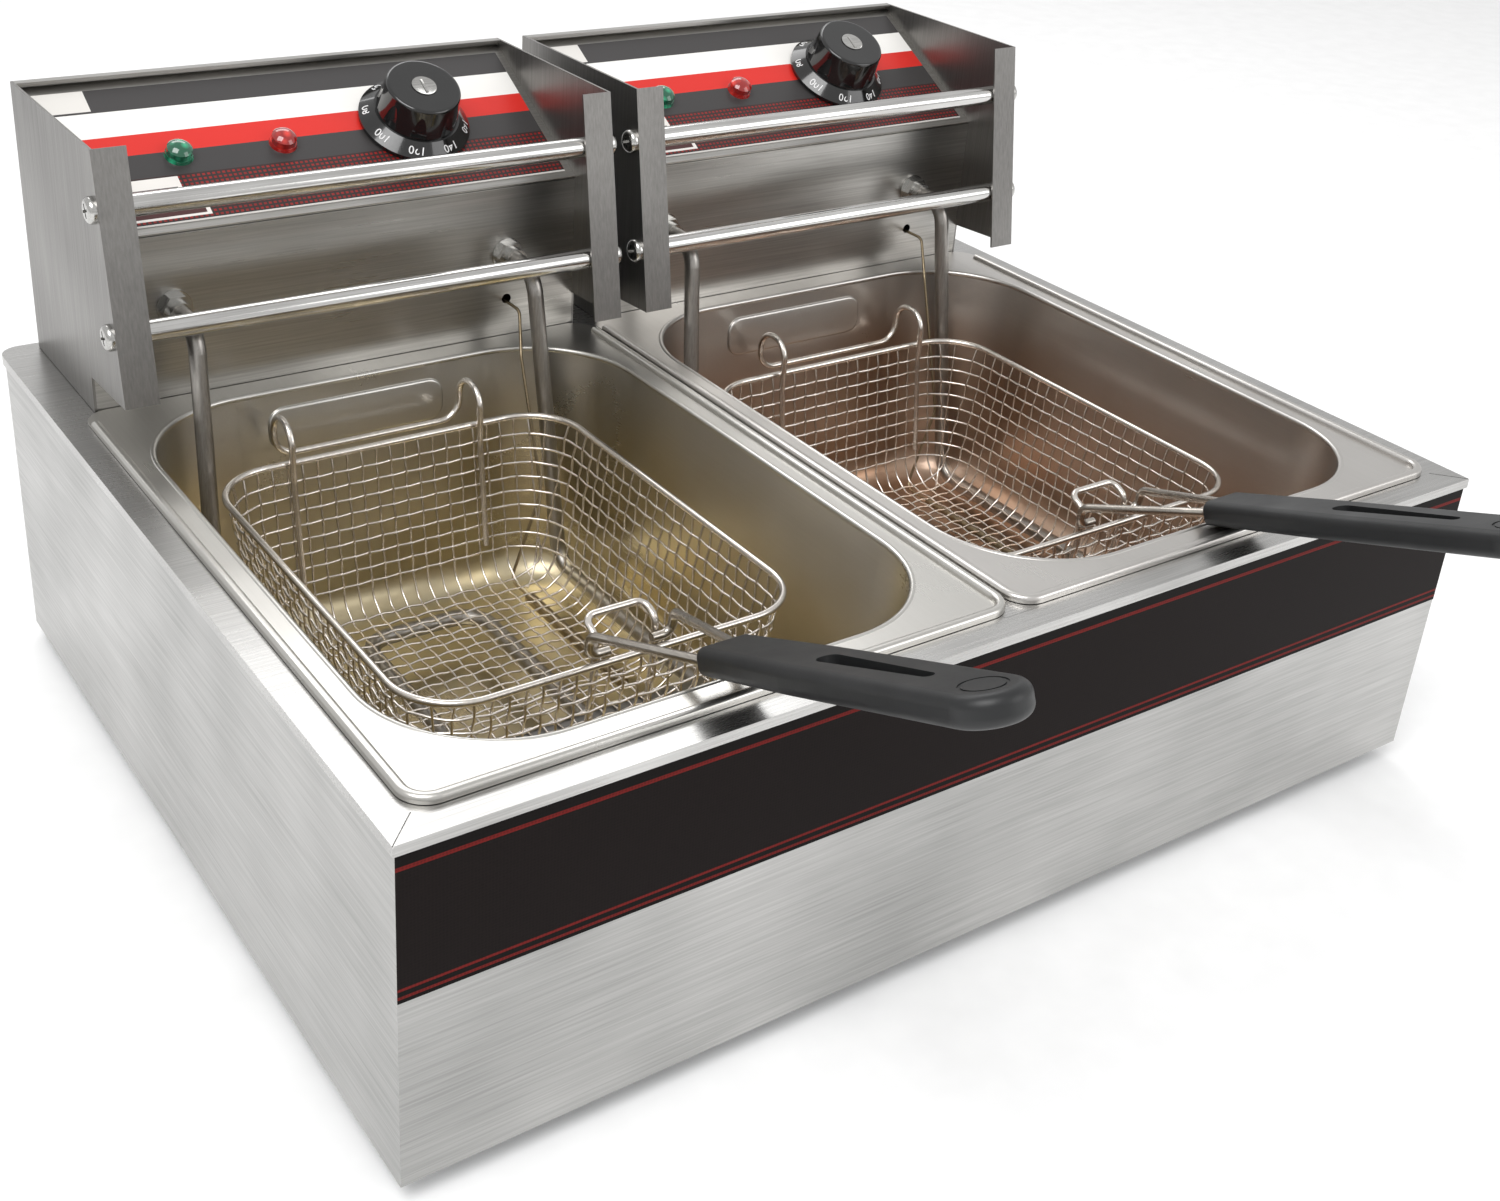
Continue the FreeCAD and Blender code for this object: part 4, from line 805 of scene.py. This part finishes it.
@dataclass
class ControlHead:
    """One lift-out head: sheet case, side plates, rods, printed panel, lamps, dial and what is inside."""

    finishes: Finishes
    side: Side
    centre_x: float
    face_y: float = CASING_MIDDLE_Y + 129.3
    foot_z: float = 241.3
    slope: float = 29.4
    knob_x: float = 55.0
    knob_s: float = 48.0
    skirt_radius: float = 28.0
    cap_radius: float = 20.5
    skirt_low: float = 3.0
    skirt_high: float = 8.4
    knob_top: float = 25.4
    disc_radius: float = 6.2
    disc_depth: float = 0.9
    disc_rim: float = 1.1
    disc_sink: float = 0.35
    pointer_width: float = 1.3
    pointer_length: float = 8.6
    pointer_height: float = 0.5
    pointer_edge: float = 0.15
    first_degree: int = 60
    degree_step: int = 20
    degree_marks: int = 8
    scale_gap: float = 60.0
    ink_lift: float = 0.25
    ink_depth: float = 0.12
    digit_size: float = 5.8
    ring_shift: float = 0.4

    def build(self) -> None:
        """Dress the head and make the dial's marks."""
        self.dress()
        self.print_dial()
        self.set_disc()

    def name(self, node: str) -> str:
        """Return a node's name on this side."""
        return f"{node}_{self.side.value}"

    def dress(self) -> None:
        """Give the head's pieces their finishes."""
        finishes = self.finishes
        film = PanelFilm(f"polycarbonate_panel_printed_{self.side.value}", self.centre_x, self.face_y,
                         self.foot_z, self.slope).build()
        table = {"head_shell": finishes.head, "control_panel": finishes.head, "side_plates": finishes.plate,
                 "hanging_rods": finishes.rod, "rod_screws": finishes.screw, "panel_overlay": film,
                 "green_lamp": finishes.green, "red_lamp": finishes.red, "knob": finishes.knob,
                 "thermostat": finishes.inner_black, "thermostat_shaft": finishes.brass,
                 "heating_element": finishes.element, "element_nuts": finishes.screw,
                 "element_strap": finishes.plate, "sensor_bulb": finishes.brass,
                 # The reset button wears the red lens finish, so it carries the same painted highlights and
                 # faint painted glow though it is no lamp.
                 "overheat_limiter": finishes.inner_black, "reset_button": finishes.red,
                 "terminal_block": finishes.inner_white, "cable_gland": finishes.inner_black}
        for node, material in table.items():
            paint(self.name(node), material)
        LOG.info("head %s dressed: %d nodes", self.side.value, len(table))

    def panel_matrix(self) -> Matrix:
        """Return the sloping panel's frame: across, up the slope and outward."""
        foot = Vector((self.centre_x, self.face_y, self.foot_z)) * MM
        return Matrix.Translation(foot) @ Matrix.Rotation(math.radians(self.slope), 4, "X")

    def print_dial(self) -> None:
        """Print the degrees round the knob's skirt."""
        middle = (self.skirt_radius + self.cap_radius) / 2 + self.ring_shift
        fall = math.atan2(self.skirt_high - self.skirt_low, self.skirt_radius - self.cap_radius)
        high = self.skirt_low + (self.skirt_radius - middle) * math.tan(fall) + self.ink_lift
        hub = self.panel_matrix() @ Matrix.Translation(Vector((self.knob_x, self.knob_s, high)) * MM)
        marks = []
        for i in range(self.degree_marks):
            deselect()
            bpy.ops.object.text_add()
            text = bpy.context.object
            text.data.body = str(self.first_degree + i * self.degree_step)
            text.data.align_x, text.data.align_y = "CENTER", "CENTER"
            text.data.size = self.digit_size * MM
            text.data.extrude = self.ink_depth * MM
            text.data.resolution_u = 3
            bpy.ops.object.convert(target="MESH")
            text = bpy.context.object
            turn = math.radians(self.scale_gap / 2 + i * (360 - self.scale_gap) / (self.degree_marks - 1))
            text.matrix_world = (hub @ Matrix.Rotation(turn, 4, "Z")
                                 @ Matrix.Translation((0, middle * MM, 0)) @ Matrix.Rotation(-fall, 4, "X"))
            settle(text)
            marks.append(text)
        deselect()
        for mark in marks:
            mark.select_set(True)
        bpy.context.view_layer.objects.active = marks[0]
        bpy.ops.object.join()
        finish_piece(marks[0], self.name("dial_numbers"), self.name("knob_body"),
                     self.finishes.print_white)

    def set_disc(self) -> None:
        """Set the plated disc with its raised pointer bar into the knob's dimple."""
        top = Vector((self.knob_x, self.knob_s, self.knob_top)) * MM
        deselect()
        bpy.ops.mesh.primitive_cylinder_add(vertices=48, radius=self.disc_radius * MM,
                                            depth=self.disc_depth * MM)
        disc = bpy.context.object
        bpy.ops.object.mode_set(mode="EDIT")
        mesh = bmesh.from_edit_mesh(disc.data)
        for face in mesh.faces:
            face.select_set(face.normal.z > UPWARD)
        bmesh.update_edit_mesh(disc.data)
        bpy.ops.mesh.inset(thickness=self.disc_rim * MM)
        bpy.ops.transform.translate(value=(0, 0, -self.disc_sink * MM))
        bpy.ops.object.mode_set(mode="OBJECT")
        bpy.ops.mesh.primitive_cube_add(size=1.0)
        bar = bpy.context.object
        bar.scale = Vector((self.pointer_width, self.pointer_length, self.pointer_height)) * MM
        bar.location = (0, 0, self.pointer_height / 2 * MM)
        settle(bar)
        bevel = bar.modifiers.new("edge", "BEVEL")
        bevel.width, bevel.segments = self.pointer_edge * MM, 2
        apply_modifiers(bar)
        deselect()
        bar.select_set(True)
        disc.select_set(True)
        bpy.context.view_layer.objects.active = disc
        bpy.ops.object.join()
        disc.matrix_world = self.panel_matrix() @ Matrix.Translation(top)
        settle(disc)
        soften(disc, 35.0)
        finish_piece(disc, self.name("knob_disc"), self.name("knob_body"),
                     self.finishes.screw)


@dataclass
class Basket:
    """One woven wire basket with its rim, hooks and handle bracket."""

    finishes: Finishes
    side: Side
    centre_x: float
    rim_z: float
    centre_y: float = CASING_MIDDLE_Y - 25.0
    width: float = 179.8
    length: float = 216.8
    depth: float = 82.0
    draft: float = 11.0
    corner: float = 28.0
    low_corner: float = 26.0
    floor_radius: float = 16.0
    rim_radius: float = 1.6
    pitch: float = 7.4
    wire_radius: float = 0.6
    wave: float = 0.5
    skin: float = 0.9
    last_ring_slack: float = 4.0
    edge_gap: float = 2.5
    corner_steps: int = 8
    fan_steps: int = 24

    def build(self) -> None:
        """Weave the mesh and dress the wires.

        Each wire follows a worked-out wavy path, which no edit-mode operator gives, so the wires
        start as bevelled curves and are then made one mesh.
        """
        for node in ("basket_rim", "basket_hooks", "handle_bracket"):
            paint(f"{node}_{self.side.value}", self.finishes.wire)
        paths = self.rings() + self.warps(True) + self.warps(False) + self.corner_wires()
        curve = bpy.data.curves.new("mesh_wires", "CURVE")
        curve.dimensions = "3D"
        curve.bevel_depth = self.wire_radius * MM
        curve.bevel_resolution = 1
        curve.use_fill_caps = True
        for points, closed in paths:
            spline = curve.splines.new("POLY")
            spline.points.add(len(points) - 1)
            for spot, place in zip(spline.points, points):
                spot.co = (place.x * MM, place.y * MM, place.z * MM, 1.0)
            spline.use_cyclic_u = closed
        obj = bpy.data.objects.new("mesh_wires", curve)
        bpy.context.scene.collection.objects.link(obj)
        pick(obj)
        bpy.ops.object.convert(target="MESH")
        obj = bpy.context.object
        soften(obj, 80.0)
        finish_piece(obj, f"woven_mesh_{self.side.value}", f"basket_body_{self.side.value}",
                     self.finishes.wire)
        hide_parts(f"basket_mesh_{self.side.value}")

    def profile(self, run: float) -> tuple[float, float, Vector]:
        """Follow the wall down and round into the floor.

        Args:
            run: The length along the wall from its top edge, in mm.

        Returns:
            The inset from the rim's line, the height, and the outward normal as (outward, up).
        """
        lean = math.atan2(self.draft, self.depth)
        turn = math.pi / 2 - lean
        tangent = self.floor_radius * math.tan(turn / 2)
        straight = math.hypot(self.draft, self.depth) - tangent
        top = self.rim_z - self.rim_radius
        if run <= straight:
            inset, fall, bend = run * math.sin(lean), run * math.cos(lean), 0.0
        else:
            bend = min((run - straight) / self.floor_radius, turn)
            hub_in = straight * math.sin(lean) + self.floor_radius * math.cos(lean)
            hub_fall = straight * math.cos(lean) - self.floor_radius * math.sin(lean)
            inset = hub_in - self.floor_radius * math.cos(lean + bend)
            fall = hub_fall + self.floor_radius * math.sin(lean + bend)
        return inset, top - fall, Vector((math.cos(lean + bend), -math.sin(lean + bend)))

    def run_lengths(self) -> tuple[float, float]:
        """Measure the wall.

        Returns:
            The lengths of its straight part and of the whole wall with its bend, in mm.
        """
        lean = math.atan2(self.draft, self.depth)
        turn = math.pi / 2 - lean
        straight = math.hypot(self.draft, self.depth) - self.floor_radius * math.tan(turn / 2)
        return straight, straight + self.floor_radius * turn

    def corner_at(self, inset: float) -> float:
        """Find the outline's corner radius at one level.

        Args:
            inset: How far that level lies inside the rim's line, in mm.

        Returns:
            The corner radius in mm.
        """
        wall = min(inset, self.draft)
        return max(self.corner - (self.corner - self.low_corner) * wall / self.draft
                   - max(inset - self.draft, 0.0), 1.0)

    def rings(self) -> list[tuple[list[Vector], bool]]:
        """Lay the wires that go round the walls, woven in and out.

        Returns:
            The paths, each closed.
        """
        straight, _ = self.run_lengths()
        rings = []
        count = int((straight + self.last_ring_slack) // self.pitch)
        for k in range(1, count + 1):
            inset, z, normal = self.profile(k * self.pitch)
            half_x, half_y = self.width / 2 - inset, self.length / 2 - inset
            radius = self.corner_at(inset)
            points = []
            for x, y, out_x, out_y in self.outline(half_x, half_y, radius):
                phase = y / self.pitch if abs(out_x) > abs(out_y) else x / self.pitch
                off = -self.wave * math.cos(math.pi * (phase + k)) - self.skin
                points.append(Vector((self.centre_x + x + out_x * normal.x * off,
                                      self.centre_y + y + out_y * normal.x * off, z + normal.y * off)))
            rings.append((points, True))
        return rings

    def outline(self, half_x: float, half_y: float,
                radius: float) -> list[tuple[float, float, float, float]]:
        """Go once round a rounded rectangle.

        Args:
            half_x: Half its width in mm.
            half_y: Half its length in mm.
            radius: Its corner radius in mm.

        Returns:
            Points with their outward directions.
        """
        step = self.pitch / 2
        spots = []
        for quarter in range(4):
            turn = quarter * math.pi / 2
            side, along = (half_x, half_y) if quarter % 2 == 0 else (half_y, half_x)
            reach = along - radius
            steps = int(reach // step)
            for i in range(-steps, steps + 1):
                spots.append(self.turned(side, i * step, 1.0, 0.0, turn))
            for i in range(self.corner_steps + 1):
                angle = math.pi / 2 * i / self.corner_steps
                out_x, out_y = math.cos(angle), math.sin(angle)
                spots.append(self.turned(side - radius + radius * out_x, reach + radius * out_y,
                                         out_x, out_y, turn))
        return spots

    def turned(self, x: float, y: float, out_x: float, out_y: float,
               angle: float) -> tuple[float, float, float, float]:
        """Turn a point and its direction about Z by an angle in radians."""
        c, s = math.cos(angle), math.sin(angle)
        return (x * c - y * s, x * s + y * c, out_x * c - out_y * s, out_x * s + out_y * c)

    def warps(self, along_x: bool) -> list[tuple[list[Vector], bool]]:
        """Lay the wires that go down one wall, across the floor and up the other.

        Args:
            along_x: True for wires that cross the floor along X.

        Returns:
            The paths, each open.
        """
        half, half_across = self.width / 2, self.length / 2
        if not along_x:
            half, half_across = half_across, half
        limit = half_across - self.draft - self.edge_gap
        count = int(limit // self.pitch)
        paths = []
        for j in range(-count, count + 1):
            across = j * self.pitch
            arm = self.arm(half, half_across, across, j)
            reach = arm[-1][0]
            floor = []
            steps = max(int(2 * reach / (self.pitch / 2)), 1)
            lowest = arm[-1][1]
            for i in range(1, steps):
                place = reach - 2 * reach * i / steps
                off = self.wave * math.cos(math.pi * (place / self.pitch + j)) * (1 if along_x else -1)
                floor.append((place, lowest + off))
            both = arm + floor + [(-a, z) for a, z in reversed(arm)]
            points = []
            for a, z in both:
                x, y = (a, across) if along_x else (across, a)
                points.append(Vector((self.centre_x + x, self.centre_y + y, z)))
            paths.append((points, False))
        return paths

    def arm(self, half: float, half_across: float, across: float,
            parity: int) -> list[tuple[float, float]]:
        """Follow one wire down a wall in its own upright plane.

        Args:
            half: Half the outline's size along the wire.
            half_across: Half the outline's size across the wire.
            across: The wire's place across.
            parity: The wire's number, which sets where it starts in the weave.

        Returns:
            Places along the wire's direction with their heights, from the top down.
        """
        _, whole = self.run_lengths()
        step = self.pitch / 2
        arm = []
        for i in range(int(whole / step) + 2):
            run = min(i * step, whole)
            inset, z, normal = self.profile(run)
            radius = self.corner_at(inset)
            a, b = half - inset, half_across - inset
            past = abs(across) - (b - radius)
            if past >= radius:
                break
            if past > 0:
                a = a - radius + math.sqrt(radius ** 2 - past ** 2)
            off = self.wave * math.cos(math.pi * (run / self.pitch + parity)) - self.skin
            if a + normal.x * off <= 0:
                break
            arm.append((a + normal.x * off, z + normal.y * off))
        return arm

    def corner_wires(self) -> list[tuple[list[Vector], bool]]:
        """Lay the wire that fans down each corner.

        Returns:
            The paths, each open.
        """
        _, whole = self.run_lengths()
        paths = []
        for sx in (-1, 1):
            for sy in (-1, 1):
                points = []
                for i in range(self.fan_steps + 1):
                    inset, z, normal = self.profile(whole * i / self.fan_steps)
                    radius = self.corner_at(inset)
                    half_x, half_y = self.width / 2 - inset, self.length / 2 - inset
                    reach = (radius - self.skin * normal.x) * math.sqrt(0.5)
                    points.append(Vector((self.centre_x + sx * (half_x - radius + reach),
                                          self.centre_y + sy * (half_y - radius + reach),
                                          z - self.skin * normal.y)))
                paths.append((points, False))
        return paths


@dataclass
class Handle:
    """One folding handle: two steel wires in a moulded grip."""

    finishes: Finishes
    side: Side

    def dress(self) -> None:
        """Give the handle's pieces their finishes."""
        paint(f"handle_wire_{self.side.value}", self.finishes.handle_wire)
        paint(f"handle_grip_{self.side.value}", self.finishes.grip)
        LOG.info("handle %s dressed", self.side.value)


@dataclass(frozen=True)
class Softbox:
    """A rectangular soft light: places and sizes in metres, power in watts."""

    name: str
    place: tuple[float, float, float]
    aim: tuple[float, float, float]
    width: float
    height: float
    power: float

    def hang(self) -> None:
        """Hang the light at its place, facing its aim."""
        data = bpy.data.lights.new(self.name, "AREA")
        data.shape = "RECTANGLE"
        data.size, data.size_y, data.energy = self.width, self.height, self.power
        light = bpy.data.objects.new(self.name, data)
        bpy.context.scene.collection.objects.link(light)
        light.location = self.place
        light.rotation_euler = (Vector(self.aim) - Vector(self.place)).to_track_quat("-Z", "Y").to_euler()


@dataclass
class Studio:
    """The pale floor, the soft lights, the pale surroundings and the camera.

    Places are in metres, the lens in mm and the camera's angles in degrees.
    """

    floor_half: float = 6.0
    floor_fibre: float = 0.025
    air_strength: float = 0.74
    softboxes: tuple[Softbox, ...] = (
        Softbox("key", (-1.1, -0.7, 2.0), (0.0, 0.0, 0.1), 1.4, 1.2, 30.0),
        Softbox("front", (1.3, -1.6, 1.1), (0.0, -0.1, 0.1), 1.2, 1.2, 9.0),
        Softbox("back", (0.4, 1.6, 1.8), (0.0, 0.1, 0.15), 1.8, 0.8, 12.0))
    camera_place: tuple[float, float, float] = (-0.47249, -0.64475 + CASING_MIDDLE_Y * MM, 0.52523)
    lens: float = 43.8566
    sensor_width: float = 36.0
    shift_x: float = 0.021075
    shift_y: float = -0.084972
    yaw: float = 36.2429
    pitch: float = 26.4362
    roll: float = 4.0763
    clip_start: float = 0.01

    def build(self) -> None:
        """Set up the studio."""
        self.lay_floor()
        self.surround()
        for softbox in self.softboxes:
            softbox.hang()
        self.set_camera()
        LOG.info("studio set up: %d lights", len(self.softboxes))

    def lay_floor(self) -> None:
        """Lay the floor of matt white paper, with a faint fibre so that it isn't one flat tone."""
        deselect()
        bpy.ops.mesh.primitive_plane_add(size=2 * self.floor_half, location=(0, 0, 0))
        floor = bpy.context.object
        floor.name = "studio_floor"
        material, tree, shader, point = start_material("floor_paper_white")
        fibre = add_node(tree, "ShaderNodeTexNoise", None, {"Vector": point, "Scale": 1 / self.floor_fibre})
        ramp = add_node(tree, "ShaderNodeValToRGB", None, {0: fibre.outputs[0]})
        set_ramp(ramp, [(NOISE_LOW, "F6F6F6"), (NOISE_HIGH, "FAFAFA")])
        tree.links.new(ramp.outputs[0], shader.inputs["Base Color"])
        shader.inputs["Roughness"].default_value = 0.8
        dress(floor, material)

    def surround(self) -> None:
        """Fill the surroundings with even pale light."""
        world = bpy.data.worlds.new("studio_air")
        bpy.context.scene.world = world
        world.use_nodes = True
        background = world.node_tree.nodes["Background"]
        background.inputs[0].default_value = colour("FFFFFF")
        background.inputs[1].default_value = self.air_strength

    def set_camera(self) -> None:
        """Set the camera at its angle."""
        yaw, pitch, roll = (math.radians(v) for v in (self.yaw, self.pitch, self.roll))
        level = math.cos(pitch)
        forward = Vector((math.sin(yaw) * level, math.cos(yaw) * level, -math.sin(pitch)))
        right = Vector((math.cos(yaw), -math.sin(yaw), 0.0))
        up = right.cross(forward)
        across = right * math.cos(roll) + up * math.sin(roll)
        above = -right * math.sin(roll) + up * math.cos(roll)
        data = bpy.data.cameras.new("camera")
        data.lens, data.sensor_width = self.lens, self.sensor_width
        data.shift_x, data.shift_y = self.shift_x, self.shift_y
        data.clip_start = self.clip_start
        camera = bpy.data.objects.new("camera", data)
        bpy.context.scene.collection.objects.link(camera)
        turn = Matrix((across, above, -forward)).transposed().to_4x4()
        camera.matrix_world = Matrix.Translation(Vector(self.camera_place)) @ turn
        bpy.context.scene.camera = camera


@dataclass(frozen=True)
class Half:
    """What differs between the fryer's two halves, in mm."""

    side: Side
    tank_x: float
    basket_x: float
    rim_z: float


HALVES = (Half(Side.LEFT, -TANK_X, -135.5, 137.9), Half(Side.RIGHT, TANK_X, 137.5, 128.9))


def main() -> None:
    """Build the fryer's looks and the studio."""
    logging.basicConfig(level=logging.INFO, format="%(name)s: %(message)s")
    deselect()
    bpy.context.scene.view_settings.view_transform = "Standard"
    finishes = Finishes()
    Casing(finishes).dress()
    for half in HALVES:
        Tank(finishes, half.side, half.tank_x).build()
        ControlHead(finishes, half.side, half.tank_x).build()
        Basket(finishes, half.side, half.basket_x, half.rim_z).build()
        Handle(finishes, half.side).dress()
    Studio().build()
    deselect()


if __name__ == "__main__":
    main()
